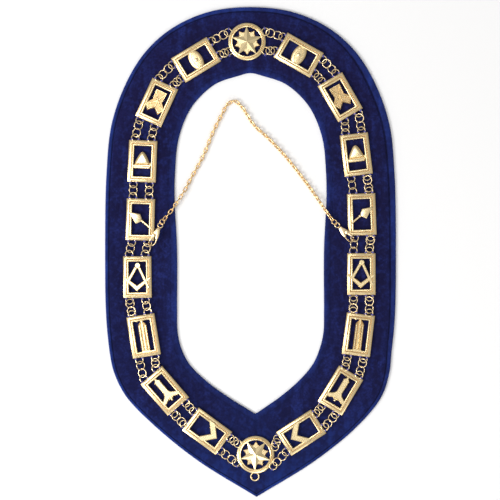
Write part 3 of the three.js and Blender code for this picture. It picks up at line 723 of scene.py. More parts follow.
# %% Rings that touch their neighbours and clear the cast loops
RING_RADIUS, RING_WIRE, PLATED_WIRE = 4.3, 1.0, 1.12
LEAST_LEAN, MOST_LEAN, LEAN_STEP = math.radians(20), math.radians(38), math.radians(0.5)
CLEARANCE, MOVE_STEP = 0.15, 0.05
TOUCHING = RING_WIRE * 0.97
RING_POINTS = 72
TURNS = [2 * math.pi * step / RING_POINTS for step in range(RING_POINTS)]


def ring_line(x, y, roll):
    """Points along the middle of the wire of a ring that leans over by roll."""
    return [(x + RING_RADIUS * math.cos(turn), y + RING_RADIUS * math.sin(turn) * math.cos(roll),
             RING_RADIUS * math.sin(turn) * math.sin(roll)) for turn in TURNS]


def gap_to_circle(points, centre, roll, radius):
    """Smallest distance from points to a circle that leans over by roll round the X axis."""
    rise, run = math.sin(roll), math.cos(roll)
    gaps = []
    for x, y, z in points:
        x, y = x - centre[0], y - centre[1]
        across, above = y * run + z * rise, z * run - y * rise
        gaps.append(math.hypot(math.hypot(x, across) - radius, above))
    return min(gaps)


def bear(first, second):
    """True if two rings (x, y, roll) of one strand touch."""
    return gap_to_circle(ring_line(*first), second[:2], second[2], RING_RADIUS) < TOUCHING


def taut_spacing():
    spacing = RING_RADIUS * 1.4
    while not bear((0, 0, MOST_LEAN), (spacing, 0, -MOST_LEAN)):
        spacing += MOVE_STEP
    return spacing


PAIR_SPACING = taut_spacing()
print("two hanging rings are", round(PAIR_SPACING, 2), "mm apart")

# %% [markdown]
# How many rings a strand takes follows from its span, the distance between the middles of its
# two cast loops. Two rings need room for both and for their wires. One ring reaches only so far
# that it still hangs in both loops.

# %% Settle the rings of one strand
HANGING_SLACK, SINGLE_SLACK, PAIR_SQUEEZE = 0.55, 0.5, 0.92
WIRES_HALF = (RING_WIRE + LOOP_WIRE) / 2
FARTHEST = RING_RADIUS + LOOP_RADIUS - WIRES_HALF - HANGING_SLACK
NEAREST = RING_RADIUS + RING_WIRE / 2 + CLEARANCE - LOOP_REACH


def settled(span, near, lean_side):
    """Leans the rings of a strand as little as lets them pass the cast loops."""
    lean, paired = LEAST_LEAN, near < span / 2
    while True:
        roll, sway = lean_side * lean, 0.0
        while paired and sway < RING_RADIUS:
            if bear((near, sway, roll), (span - near, -sway, -roll)):
                break
            sway += MOVE_STEP
        free = gap_to_circle(ring_line(near, sway, roll), (0, 0), 0, LOOP_RADIUS) - WIRES_HALF
        if free >= CLEARANCE or lean >= MOST_LEAN:
            break
        lean += LEAN_STEP
    return [(near, sway, roll), (span - near, -sway, -roll)] if paired else [(near, 0, roll)]


def strand(start, end, wanted, lean_side):
    """Rings between two cast loops: their places along the line from start to end."""
    span = (end - start).length
    room_for_two = wanted == 2 and span > 2 * NEAREST + PAIR_SQUEEZE * PAIR_SPACING
    if room_for_two or span > 2 * FARTHEST + SINGLE_SLACK:
        return settled(span, max(NEAREST, (span - PAIR_SPACING) / 2), lean_side)
    return settled(span, span / 2, lean_side)


print("one ring spans up to", round(2 * FARTHEST + SINGLE_SLACK, 1), "mm")

# %% [markdown]
# Each strand is worked out along a straight line and then turned to its own heading. The line
# starts at the lower loop of one casting and ends at the upper loop of the next one down.

# %% Bend the jump rings
for side_name, side in SIDES.items():
    places = STATIONS[side_name]
    for joint in range(len(places) + 1):
        for strand_name, inward, wanted in (("outer_rings", -1, 2), ("inner_ring", 1, 1)):
            across = -side * inward
            start = (medallion_loop(STATIONS["top"], -inward, side) if joint == 0
                     else panel_loop(places[joint - 1], -1, across))
            end = (medallion_loop(STATIONS["bottom"], inward, side) if joint == len(places)
                   else panel_loop(places[joint], 1, across))
            heading = math.atan2(end.y - start.y, end.x - start.x)
            origin = Matrix.Translation((start.x, start.y, CHAIN_BASE + LOOP_HEIGHT))
            origin = origin @ Matrix.Rotation(heading, 4, "Z")
            wire = bmesh.new()
            for x, y, roll in strand(start, end, wanted, -side * inward):
                lay = Matrix.Translation((x, y, 0)) @ Matrix.Rotation(roll, 4, "X")
                ring(wire, origin @ lay, RING_RADIUS, PLATED_WIRE, steps=36)
            node = f"{strand_name}_{side_name}_{joint + 1}"
            add_piece(f"{node}_wire", wire, wire_gilt, "collar", [node], sharp=60)
print("strands of jump rings:", 4 * (len(STATIONS["left"]) + 1))

# %% [markdown]
# ## Lobster clasps
#
# A clasp hangs in the inner cast loop of the fourth panel on each side. Its body is a flat
# forging with a tail eye. The hook is a round bar that dips under the cast loop and comes up
# through it, and a sprung lever closes it. The lever turns on its pin, so it is a piece of its
# own and rides on its own body. The plate could be a box cut with Booleans, but an outline
# filled, drawn up and bevelled gives clean rounded edges. The hook could be a curve with a
# bevel; a circle extruded from point to point is a mesh from the start.

# %% Plates with rounded edges
STEEP = 1.2


def rounded_plate(bm, outline, low, high, rounding, hole=None, steps=3):
    """A flat outline between two heights with all its edges rounded. hole is (x, y, radius)."""
    before_faces = set(bm.faces)
    verts = [bm.verts.new((x, y, low)) for x, y in outline]
    edges = [bm.edges.new(pair) for pair in zip(verts, verts[1:] + verts[:1])]
    if hole:
        lay = Matrix.Translation((hole[0], hole[1], low))
        inner = bmesh.ops.create_circle(bm, cap_ends=False, segments=28, radius=hole[2], matrix=lay)
        edges += list({edge for vert in inner["verts"] for edge in vert.link_edges})
    bmesh.ops.triangle_fill(bm, use_beauty=True, use_dissolve=False, edges=edges)
    flat = [face for face in bm.faces if face not in before_faces]
    for face in flat:
        face.normal_update()
        if face.normal.z > 0:
            face.normal_flip()
    made = bmesh.ops.extrude_face_region(bm, geom=flat)["geom"]
    raised = [item for item in made if isinstance(item, bmesh.types.BMVert)]
    bmesh.ops.translate(bm, verts=raised, vec=(0, 0, high - low))
    whole = [face for face in bm.faces if face not in before_faces]
    bmesh.ops.recalc_face_normals(bm, faces=whole)
    rims = {edge for face in whole for edge in face.edges
            if len(edge.link_faces) == 2 and edge.calc_face_angle(0) > STEEP
            and abs(edge.verts[0].co.z - edge.verts[1].co.z) < 1e-6}
    bmesh.ops.bevel(bm, geom=list(rims), offset=rounding, offset_type="OFFSET", segments=steps,
                    profile=0.5, affect="EDGES", material=-1, clamp_overlap=True)


print("edges that turn by more than", round(math.degrees(STEEP)), "degrees are rounded")

# %% [markdown]
# The hook, the safety chain, the edges of the velvet and the sewing thread all follow smooth
# lines through a few points. One helper draws such a line, and one lays a round bar along it.

# %% Smooth routes and bent bars
def smooth_route(points, steps):
    """Evenly numbered points on a centripetal Catmull-Rom curve through the given ones."""
    knots = [Vector(point) for point in points]
    knots = [knots[0] * 2 - knots[1]] + knots + [knots[-1] * 2 - knots[-2]]
    path = []
    for first, start, end, last in zip(knots, knots[1:], knots[2:], knots[3:]):
        pairs = ((first, start), (start, end), (end, last))
        before, here, after = [max((b - a).length ** 0.5, 1e-4) for a, b in pairs]
        leave = ((start - first) / before - (end - first) / (before + here)
                 + (end - start) / here) * here
        reach = ((end - start) / here - (last - start) / (here + after)
                 + (last - end) / after) * here
        for step in range(steps):
            t = step / steps
            path.append(start * (2 * t ** 3 - 3 * t ** 2 + 1) + leave * (t ** 3 - 2 * t ** 2 + t)
                        + end * (3 * t ** 2 - 2 * t ** 3) + reach * (t ** 3 - t ** 2))
    return path + [knots[-2]]


def bent_bar(bm, path, radius, sides=10):
    """A round bar along a path: a section is set at the start and drawn on from point to point."""
    along = (path[1] - path[0]).normalized()
    frame_turn = along.to_track_quat("Z", "Y").to_matrix().to_4x4()
    section = bmesh.ops.create_circle(bm, cap_ends=True, segments=sides, radius=radius,
                                      matrix=Matrix.Translation(path[0]) @ frame_turn)["verts"]
    end = list({face for vert in section for face in vert.link_faces})
    for index in range(1, len(path)):
        ahead = (path[min(index + 1, len(path) - 1)] - path[index - 1]).normalized()
        turn = along.rotation_difference(ahead).to_matrix()
        made = bmesh.ops.extrude_face_region(bm, geom=end)["geom"]
        verts = [item for item in made if isinstance(item, bmesh.types.BMVert)]
        end = [item for item in made if isinstance(item, bmesh.types.BMFace)]
        bmesh.ops.translate(bm, verts=verts, vec=path[index] - path[index - 1])
        bmesh.ops.rotate(bm, verts=verts, cent=path[index], matrix=turn)
        along = ahead


print("routes are smooth curves through their points")

# %% [markdown]
# A clasp is drawn flat, with its tip at the left and its tail at the right. It is then turned
# over for the right side, tipped a little, because its hook lies over the panel and its tail
# hangs lower, and turned round its tip to the heading that it has in the photograph.

# %% Where a clasp lies
CLASP_REST, CLASP_TILT = 14, 4
CLASP_HALF, PANEL_BAND, CLASP_SEAT = 1.2, 3.3, 0.3
IN_THE_HOOK = (1.7, 3.7)
CLASP_HEADINGS = {"left": 64.3, "right": 134}


def clasp_place(side_name, side):
    station = STATIONS[side_name][3]
    loop = panel_loop(station, -1, -side)
    turn = math.radians(CLASP_HEADINGS[side_name])
    along = Vector((math.cos(turn), math.sin(turn)))
    across = Vector((-along.y, along.x)) * -side
    start = loop - along * IN_THE_HOOK[0] - across * IN_THE_HOOK[1]
    middle_height = CHAIN_BASE + PANEL_BAND + CLASP_SEAT + CLASP_HALF
    set_down = Matrix.Translation((start.x, start.y, middle_height)) @ Matrix.Rotation(turn, 4, "Z")
    tilt = Matrix.Rotation(math.radians(CLASP_TILT), 4, "Y")
    tipped = Matrix.Translation((CLASP_REST, 0, 0)) @ tilt @ Matrix.Translation((-CLASP_REST, 0, 0))
    turned_over = Matrix.Diagonal((1, 1 if side < 0 else -1, 1, 1))
    return set_down @ tipped @ turned_over


print("headings of the clasps:", CLASP_HEADINGS)

# %% [markdown]
# The body is a plate with a thin cheek on each side of the lever, which leaves the lever a slot
# to swing in. The lever is a flat finger that reaches from its pin to the end of the hook.

# %% Clasp bodies and levers
CLASP_LENGTH = 26
TAIL_RADIUS, TAIL_WIRE, HOOK_RADIUS = 2.4, 1.4, 0.7
HOOK_ROUTE = [(12.0, -2.2, 0.0), (10.0, -2.6, -0.1), (7.4, -2.9, -0.8), (4.4, -2.9, -2.5),
              (1.9, -1.9, -4.0), (0.9, -0.3, -4.6), (1.3, 1.1, -4.2), (2.4, 2.3, -2.6),
              (2.9, 2.9, 0.2)]
PIVOT = (11.0, 1.6)


def clasp_body():
    """A plate, a cheek on each side of the lever, the tail eye, the pin and the hook."""
    bm = bmesh.new()
    tail_x = CLASP_LENGTH - (TAIL_RADIUS + TAIL_WIRE / 2)
    lower = [(8.6, -3.3), (10.0, -3.7), (12.2, -3.6), (15.0, -3.0), (17.6, -2.1), (19.6, -1.7)]
    upper = [(19.6, 1.7), (17.6, 2.1), (15.0, 3.0), (13.2, 3.5)]
    under_lever = [(12.8, 0.0), (9.2, -0.9), (8.4, -1.8)]
    rounded_plate(bm, lower + upper + under_lever, -CLASP_HALF, CLASP_HALF, 0.55)
    cheek = [(9.3, 0.1), (12.7, 0.1), (13.2, 3.5), (10.6, 3.6), (9.3, 2.7)]
    rounded_plate(bm, cheek, 0.65, 1.25, 0.2, steps=2)
    rounded_plate(bm, cheek, -1.25, -0.65, 0.2, steps=2)
    tail = Matrix.Translation((tail_x, 0, 0)) @ Matrix.Diagonal((1, 1, 1.5, 1))
    ring(bm, tail, TAIL_RADIUS, TAIL_WIRE, steps=32)
    before = set(bm.verts)
    pin = [(PINHOLE, -1.32), (0.45, -1.32), (0.55, -1.2), (0.55, 1.2), (0.45, 1.32),
           (PINHOLE, 1.32)]
    spun(bm, pin, steps=16)
    bmesh.ops.translate(bm, verts=new_since(bm, before), vec=(*PIVOT, 0))
    bent_bar(bm, smooth_route(HOOK_ROUTE, 5), HOOK_RADIUS)
    dome(bm, (2.9, 2.9), 0.68, 0.1, 0.4)
    return bm


def clasp_lever():
    """A thin finger with a hole for the pin."""
    bm = bmesh.new()
    reach = [(12.2, 1.0), (11.7, 2.75), (10.7, 3.0), (10.3, 5.0), (9.1, 5.0), (9.4, 3.0),
             (7.2, 3.1), (4.1, 3.5), (4.1, 2.3), (7.2, 1.6), (9.8, 0.6), (11.0, 0.25)]
    rounded_plate(bm, reach, -0.4, 0.4, 0.15, hole=(*PIVOT, 0.72), steps=2)
    return bm


for side_name, side in SIDES.items():
    lay = clasp_place(side_name, side)
    for name, shape, body in ((f"{side_name}_clasp", clasp_body(), "collar"),
                              (f"{side_name}_clasp_lever", clasp_lever(), f"{side_name}_lever")):
        bmesh.ops.transform(shape, matrix=lay, verts=shape.verts)
        add_piece(f"{name}_forging", shape, wire_gilt, body, [name], sharp=40)
print("clasps: 2, levers: 2")

# %% [markdown]
# ## The safety chain
#
# The fine chain across the neck is made of nearly seventy oval links. It runs from one tail eye
# to the other, over the edge of the velvet and across the table, with one larger round ring at
# each end. An array along a curve would bend the links, so each is set down by itself at its own
# distance along the route. First the route: where it goes, how high it passes over what it lies
# on, and whether that is the velvet or the table.

# %% Route of the chain
VELVET_TOP = 2.6
BAR_WIDTH, ROUTE_STEPS = 4.0, 24
SAFETY_ROUTE = [(-88.5, 29.7, 2.0, 1), (-85.5, 33.6, 1.1, 1), (-79.5, 41.0, 0.3, 1),
                (-73.0, 50.5, 0.3, 1), (-69.0, 56.5, 0.2, 1), (-64.5, 64.0, 1.2, 0),
                (-60.5, 72.0, 0.3, 0), (-47.5, 96.0, 0.15, 0), (-37.5, 120.0, 0.15, 0),
                (-28.0, 139.0, 0.15, 0), (-23.5, 147.0, 0.15, 0), (-16.5, 151.0, 0.15, 0),
                (-8.5, 144.5, 0.15, 0), (2.5, 128.0, 0.15, 0), (19.5, 112.0, 0.15, 0),
                (34.5, 96.0, 0.15, 0), (47.5, 80.0, 0.15, 0), (59.5, 64.0, 0.3, 0),
                (65.0, 56.0, 1.2, 0), (69.5, 49.5, 0.2, 1), (75.0, 41.5, 0.3, 1),
                (80.5, 34.0, 1.1, 1), (84.1, 29.5, 2.0, 1)]
middle = smooth_route([(x, y, over + on_velvet * VELVET_TOP + BAR_WIDTH / 2)
                       for x, y, over, on_velvet in SAFETY_ROUTE], ROUTE_STEPS)
lengths = [0.0]
for first, second in zip(middle, middle[1:]):
    lengths.append(lengths[-1] + (second - first).length)
print("safety chain:", round(lengths[-1]), "mm")

# %% [markdown]
# Each link is one oval ring, and every second one is rolled over by a right angle, which is how
# a cable chain lies. The whole chain is also twisted by 38 degrees about its middle, so that its
# links show wide and narrow on the left and evenly on the right, as in the photograph.

# %% Links along the route
LINK_PITCH, LINK_RADIUS, LINK_WIRE, LINK_STRETCH = 4.4, 1.4, 1.2, 2.9
END_RING, END_WIRE, END_INSET, END_ROLL, END_PLAY = 2.9, 1.1, 0.6, 40, 0.05
LINK_ROLL, CHAIN_TWIST, TWIST_FROM, TWIST_RATE = 8, 38, 0.4, 4
SIGHT = 1.5
FIRST_LINK = (END_INSET + END_RING + LINK_RADIUS + LINK_STRETCH / 2
              - (END_WIRE + LINK_WIRE) / 2 - END_PLAY)
link_count = round((lengths[-1] - 2 * FIRST_LINK) / LINK_PITCH) + 1


def point_along(distance):
    distance = min(max(distance, 0.0), lengths[-1])
    index = max(1, next(i for i, length in enumerate(lengths) if length >= distance - 1e-9))
    share = (distance - lengths[index - 1]) / (lengths[index] - lengths[index - 1])
    return middle[index - 1].lerp(middle[index], share)


def on_chain(distance, roll):
    """Where a link lies: its X axis runs along the chain, and it is rolled round it."""
    ahead = (point_along(distance + SIGHT) - point_along(distance - SIGHT)).normalized()
    turn = ahead.to_track_quat("X", "Z").to_matrix().to_4x4()
    placed = Matrix.Translation(point_along(distance)) @ turn
    return placed @ Matrix.Rotation(math.radians(roll), 4, "X")


links = bmesh.new()
for distance, roll in ((END_INSET, END_ROLL), (lengths[-1] - END_INSET, -END_ROLL)):
    ring(links, on_chain(distance, roll), END_RING, END_WIRE, steps=28, sides=8)
for link in range(link_count):
    share = link / (link_count - 1)
    centre = FIRST_LINK + share * (lengths[-1] - 2 * FIRST_LINK)
    twist = CHAIN_TWIST * max(0.0, min(1.0, (share - TWIST_FROM) * TWIST_RATE))
    roll = (90 if link % 2 else 0) + LINK_ROLL + twist
    ring(links, on_chain(centre, roll), LINK_RADIUS, LINK_WIRE, steps=16, sides=6,
         stretch=LINK_STRETCH)
add_piece("safety_chain_links", links, chain_gilt, "collar", ["safety_chain"], sharp=70)
print("links of the safety chain:", link_count)

# %% [markdown]
# ## The velvet collar
#
# The cloth is one flat V of stiffened velvet. Its outer edge is turned and sewn, which leaves a
# soft welt between the edge and a sunk row of stitches. A facing of even width runs round the
# neck opening, and a seam joins the two halves at the tip. A cloth simulation has nothing to do
# here, because the collar is stiff and lies flat. So the two edges are curves, and the surface
# is a net of rows at set distances from them, which keeps welts and stitch lines at their
# distance everywhere. First the curves: how far down and how far out each of their points is.

# %% The two edges
LENGTH, WIDTH, NECK_LENGTH, NECK_WIDTH, NECK_DROP = 490, 291, 341, 152, 66
OUTER_EDGE = [(0, 0), (0.01, 0.29), (0.043, 0.54), (0.092, 0.725), (0.157, 0.859), (0.239, 0.955),
              (0.337, 0.99), (0.5, 1), (0.631, 0.993), (0.698, 0.972), (0.747, 0.946),
              (0.796, 0.876), (0.857, 0.691), (0.927, 0.399), (1, 0)]
INNER_EDGE = [(0, 0), (0.009, 0.171), (0.032, 0.46), (0.079, 0.704), (0.126, 0.842), (0.2, 0.954),
              (0.29, 0.993), (0.364, 1), (0.52, 0.967), (0.7, 0.967), (0.76, 0.96), (0.806, 0.914),
              (0.853, 0.816), (0.9, 0.625), (0.947, 0.362), (1, 0)]
EDGE_STEPS = 24


def half_edge(rows, top, length, half_span):
    """The right half of an edge, from the back of the neck to the tip."""
    right = [(out * half_span, top - down * length, 0) for down, out in rows]
    both = [(-x, y, z) for x, y, z in reversed(right[1:])] + right
    path = smooth_route(both, EDGE_STEPS)
    return [point.to_2d() for point in path[EDGE_STEPS * (len(rows) - 1):]]


outer_half = half_edge(OUTER_EDGE, LENGTH / 2, LENGTH, WIDTH / 2)
inner_half = half_edge(INNER_EDGE, LENGTH / 2 - NECK_DROP, NECK_LENGTH, NECK_WIDTH / 2)
print("edge points:", len(outer_half), len(inner_half))

# %% [markdown]
# A row of the net is a half edge moved sideways. Moved points bunch up in the bend at the tip
# and cross the centre line, so each row is cut there and spaced evenly again. All rows then have
# the same number of points, and faces go straight across from one to the next.

# %% Cut a row at the centre line and space it evenly
AROUND = 360


def ended_at_middle(moved):
    """Draws a half edge out to the centre line, or cuts it there."""
    if moved[-1].x > 0:
        along = (moved[-1] - moved[-2]).normalized()
        moved.append(moved[-1] - along * (moved[-1].x / along.x))
    while len(moved) > 2 and moved[-2].x <= 0:
        moved.pop()
    last, before = moved[-1], moved[-2]
    moved[-1] = before.lerp(last, before.x / max(before.x - last.x, 1e-9))
    return moved


def evenly_spaced(points):
    runs = [0.0]
    for first, second in zip(points, points[1:]):
        runs.append(runs[-1] + (second - first).length)
    spaced, index = [], 1
    for step in range(AROUND + 1):
        wanted = runs[-1] * step / AROUND
        while index < len(runs) - 1 and runs[index] < wanted:
            index += 1
        share = (wanted - runs[index - 1]) / max(runs[index] - runs[index - 1], 1e-9)
        spaced.append(points[index - 1].lerp(points[index], share))
    return spaced


print("parts of half a row:", AROUND)

# %% [markdown]
# How far a row is moved can change on its way from the neck to the tip, by a table of shares.
# The whole collar also leans a little at the tip, as it does in the photograph. A lattice could
# bend it, but moving each point by a sum needs no second object.

# %% Rows that keep their distance from an edge
TIP_SHIFT, LEAN_FOOT, LEAN_LENGTH = 6, -188.65, 95.55


def share_at(way, shares):
    """Reads a table of (way, share) between its rows."""
    for (start, low), (end, high) in zip(shares, shares[1:]):
        if way <= end:
            return low + (high - low) * (way - start) / (end - start)
    return shares[-1][1]


def offset_half(points, distance, shares=((0, 1), (1, 1))):
    """A half edge moved sideways. shares scales the distance on the way from neck to tip."""
    moved = []
    for index, point in enumerate(points):
        here = distance * share_at(index / (len(points) - 1), shares)
        before, after = points[max(index - 1, 0)], points[min(index + 1, len(points) - 1)]
        along = (after - before).normalized()
        if index == 0:
            along = Vector((1, 0))
        moved.append(point + Vector((along.y, -along.x)) * here)
    return evenly_spaced(ended_at_middle(moved))


def leaned(point):
    """The place of a point when the tip of the collar leans to the right."""
    share = min(max((point.y - LEAN_FOOT) / LEAN_LENGTH, 0.0), 1.0)
    share = share * share * (3 - 2 * share)
    return point.x + TIP_SHIFT * (1 - share), point.y


print("points in half a row:", len(offset_half(outer_half, 0)))

# %% [markdown]
# Each row has a distance from its edge, a height and a share of the dark stitch line. The first
# outer rows and the last inner ones lie underneath. Rows of the field lie between the last outer
# and the first inner row. The turned hem is not equally wide all round: it is widest on the right
# shoulder and narrow towards the tip, so its distances take a share that changes on the way.

# %% Rows from the outer edge to the inner one
OUTER_ROWS = [(1.6, 0.0, 0.0), (0.5, 0.12, 0.0), (0.0, 0.8, 0.0), (0.0, 1.4, 0.0), (0.3, 2.05, 0.0),
              (0.9, 2.45, 0.0), (2.0, 2.68, 0.0), (3.2, 2.74, 0.0), (4.4, 2.7, 0.0),
              (5.4, 2.52, 0.0), (6.0, 2.28, 0.75), (6.5, 2.02, 1.0), (7.0, 1.98, 1.0),
              (7.5, 2.15, 0.75), (8.2, 2.42, 0.0), (9.2, 2.54, 0.0)]
INNER_ROWS = [(8.8, 2.56, 0.0), (7.8, 2.52, 0.0), (7.0, 2.45, 0.1), (6.6, 2.36, 0.35),
              (6.2, 2.35, 0.35), (5.7, 2.44, 0.1), (4.8, 2.58, 0.0), (3.6, 2.72, 0.0),
              (2.4, 2.7, 0.0), (1.3, 2.55, 0.0), (0.5, 2.25, 0.0), (0.0, 1.5, 0.0), (0.0, 0.8, 0.0),
              (0.5, 0.12, 0.0), (1.6, 0.0, 0.0)]
HEM_SHARES = {"right": ((0, 0.66), (0.12, 0.72), (0.3, 1.1), (0.5, 0.85),
                        (0.7, 0.62), (0.85, 0.45), (1, 0.42)),
              "left": ((0, 0.66), (0.15, 0.58), (0.4, 0.58), (0.7, 0.52), (0.85, 0.45), (1, 0.42))}
FIELD_ROWS, FIELD_HEIGHT, FIELD_SPAN = 18, 2.56, 60
PAST_HEM, PAST_FACING = 6, 9

velvet_rows = []
for distance, height, stitch in OUTER_ROWS:
    halves = [offset_half(outer_half, distance, HEM_SHARES[name]) for name in ("right", "left")]
    velvet_rows.append((*halves, height, stitch, distance, math.inf, True))
first_fields = velvet_rows[-1][:2]
last_field = offset_half(inner_half, -INNER_ROWS[0][0])
for row in range(1, FIELD_ROWS):
    share = row / FIELD_ROWS
    halves = [[a.lerp(b, share) for a, b in zip(first, last_field)] for first in first_fields]
    from_outer, from_inner = PAST_HEM + share * FIELD_SPAN, PAST_FACING + (1 - share) * FIELD_SPAN
    velvet_rows.append((*halves, FIELD_HEIGHT, 0.0, from_outer, from_inner, False))
for distance, height, stitch in INNER_ROWS:
    half = offset_half(inner_half, -distance)
    velvet_rows.append((half, half, height, stitch, math.inf, distance, True))
print("rows of the velvet:", len(velvet_rows))

# %% [markdown]
# Cloth is never quite flat. Two slow noises swell this one, and a pressed crease crosses it at
# the back of the neck. Both could be sculpted, but a sum that is read at each point gives the
# same cloth each time.

# %% Swell and crease
CREASE_FROM, CREASE_MIDDLE = 150, (13.5, 212)
CREASE_LEAN, CREASE_HALF = 0.03, 1.3


def swell(x, y):
    """Slow unevenness of cloth that lies flat, in millimetres."""
    broad = noise.noise((x * 0.03, y * 0.03, 3.0))
    return 0.16 * broad + 0.05 * noise.noise((x * 0.12, y * 0.12, 7.0))


def crease_at(x, y):
    """One in the middle of the crease and nothing away from it."""
    if y <= CREASE_FROM:
        return 0.0
    aside = x - CREASE_MIDDLE[0] - (y - CREASE_MIDDLE[1]) * CREASE_LEAN
    return math.exp(-(aside / CREASE_HALF) ** 2)


print("crease in its middle:", crease_at(*CREASE_MIDDLE))

# %% [markdown]
# Now the net. It is closed underneath by the faces between its last row and its first. The sewn
# rows pucker, and the seam at the tip is sunk. Four numbers per point tell the finish where it
# is: on the turned hem, which gets a painted sheen up to its seam, on the facing, which gets a
# painted sheen too, in a line of stitches or in the seam at the tip.

# %% Lay the net
ON_TOP, PUCKER = 1.9, 0.06
SEAM_AT, HEM_WIDTH, HEM_FADE, FACING_FADE = 6.3, 11, 3.2, 3.6
SEAM_REACH, SEAM_DEPTH, CREASE_HEIGHT = 1.6, 0.3, 0.12


def whole_row(right, left):
    """A closed row: the right half, then the mirrored left one with its numbers below zero."""
    row = [(point, index) for index, point in enumerate(right)]
    mirrored = [(Vector((-point.x, point.y)), -index) for index, point in enumerate(left)]
    return row + mirrored[-2:0:-1]


cloth = bmesh.new()
masks = {name: cloth.verts.layers.float.new(name) for name in ("hem", "facing", "stitch", "seam")}
net = []
for right, left, height, stitch, from_outer, from_inner, sewn in velvet_rows:
    line = []
    for point, index in whole_row(right, left):
        x, y = leaned(point)
        lift = pucker = seam = crease = 0.0
        if height > ON_TOP:
            lift, crease = swell(x, y), crease_at(x, y)
            pucker = PUCKER * noise.noise((index * 0.9, 2.0, 5.0)) if sewn else 0.0
            seam = max(0.0, 1 - (AROUND - abs(index)) / SEAM_REACH)
        height_here = height + lift + pucker - SEAM_DEPTH * seam + CREASE_HEIGHT * crease
        vert = cloth.verts.new((x, y, height_here))
        if from_outer < SEAM_AT:
            vert[masks["hem"]] = 1 - from_outer / HEM_WIDTH
        else:
            vert[masks["hem"]] = math.exp(-from_outer / HEM_FADE)
        vert[masks["facing"]] = math.exp(-from_inner / FACING_FADE)
        broken = 0.8 + 0.6 * noise.noise((index * 0.55, min(from_outer, from_inner), 9.0))
        vert[masks["stitch"]] = stitch * min(max(broken, 0.0), 1.0)
        vert[masks["seam"]] = seam
        line.append(vert)
    net.append(line)
for first, second in zip(net, net[1:] + net[:1]):
    count = len(first)
    for index in range(count):
        after = (index + 1) % count
        cloth.faces.new((first[index], first[after], second[after], second[index]))
area = sum(face.calc_area() for face in cloth.faces if face.calc_center_median().z > 1.0) * MM * MM
print("velvet net:", len(net), "rows of", len(net[0]), "points,", round(area, 4),
      "m2 of cloth on top")

# %% [markdown]
# ## The velvet's finish
#
# Velvet is dark where one looks straight into the pile and light where it is seen from the side.
# Hair could show the pile, but it would take millions of strands, so the sheen of the shader
# gives it. The cloth is midnight navy, bluer in brushed streaks and nearly black in the stitch
# lines. A painted sheen makes it bluer and lighter at the turned edges, less so on the right, and
# a broad painted sheen makes it bluer low at the tip. Fine noise gives single tufts and small
# dents, noise that is stretched gives threads and streaks, and broad noise gives the marks where
# the pile was stroked.

# %% Midnight velvet
NAVY, UPPER_NAVY = (0.0080, 0.0098, 0.054), (0.0102, 0.0084, 0.050)
RIGHT_NAVY, STROKED_DOWN = (0.0085, 0.0075, 0.034), (0.0068, 0.0058, 0.030)
DENT, TUFT_TIP = (0.0056, 0.0054, 0.026), (0.024, 0.025, 0.090)
BRUSHED_BLUE, TIP_SHEEN_BLUE = (0.0160, 0.0235, 0.132), (0.0105, 0.0270, 0.150)
EDGE_SHEEN_BLUE, STITCH_SHADE = (0.020, 0.048, 0.262), (0.004, 0.004, 0.014)
velvet_finish, tree, shader, where = new_finish("midnight_velvet")
tufts = noise_of(tree, where, scale=1400.0, detail=2.0)
threads = noise_of(tree, where, scale=320.0, detail=4.0, stretch=(1.0, 0.35, 1.0), turn=(0, 0, 0.5))
mottles = noise_of(tree, where, scale=210.0).ramped(0.42, 0.66)
dents = noise_of(tree, where, scale=430.0, detail=2.0).ramped(0.42, 0.6)
streaks = noise_of(tree, where, scale=120.0, detail=4.0, stretch=(1.0, 0.22, 1.0))
streaks = streaks.ramped(0.45, 0.72)
stroked = noise_of(tree, where, scale=26.0, stretch=(1.0, 0.6, 1.0)).ramped(0.38, 0.68)
place_parts = Flow.node(tree, "ShaderNodeSeparateXYZ", {"Vector": where})
upper_part = Flow(tree, place_parts.outputs["Y"]).ramped(-0.12, 0.2)
to_right = Flow(tree, place_parts.outputs["X"]).ramped(-0.12, 0.14)
low_part = 1.0 - Flow(tree, place_parts.outputs["Y"]).ramped(-0.235, -0.13)
brushed = (streaks * 0.75 + mottles * 0.65) * (stroked * 0.4 + 0.6)
field = upper_part.mix((*NAVY, 1), (*UPPER_NAVY, 1))
field = (stroked * 0.75).mix(field, (*STROKED_DOWN, 1))
field = (to_right * 0.5).mix(field, (*RIGHT_NAVY, 1))
field = brushed.mix(field, (*BRUSHED_BLUE, 1))
field = (dents * 0.5).mix(field, (*DENT, 1))
# Painted sheen: a broad, streaky blue light low at the tip.
field = (low_part * (streaks * 0.5 + mottles * 0.3 + 0.3)).mix(field, (*TIP_SHEEN_BLUE, 1))
field = (tufts * threads * 0.5).mix(field, (*TUFT_TIP, 1))
edges = (attribute(tree, "hem") + attribute(tree, "facing") * 0.7).sum("MINIMUM", 1.0)
# Painted sheen: the turned edges and the facing turn lighter blue, less so on the right.
edge_sheen = edges * (threads * 0.5 + streaks * 0.4 + mottles * 0.2 + 0.3)
with_edge_sheen = (edge_sheen * (1.0 - to_right * 0.35)).mix(field, (*EDGE_SHEEN_BLUE, 1))
sewn = attribute(tree, "stitch") * 0.85 + attribute(tree, "seam") * 0.3
tree.links.new(sewn.mix(with_edge_sheen, (*STITCH_SHADE, 1)).socket, shader.inputs["Base Color"])
shader.inputs["Roughness"].default_value = 0.95
shader.inputs["Specular IOR Level"].default_value = 0.03
shader.inputs["Sheen Weight"].default_value = 0.12
shader.inputs["Sheen Roughness"].default_value = 0.45
shader.inputs["Sheen Tint"].default_value = (0.25, 0.34, 0.95, 1)
bumped(tree, shader, tufts * 0.5 + threads * 0.8 + streaks * 0.3, strength=0.5, distance=0.0006)
print("nodes in the velvet's finish:", len(tree.nodes))

# %% [markdown]
# The net becomes the piece that stands for the collar. It is closed already, and its points
# must keep their order, so nothing is merged, and at 180 degrees no edge of it stays sharp.

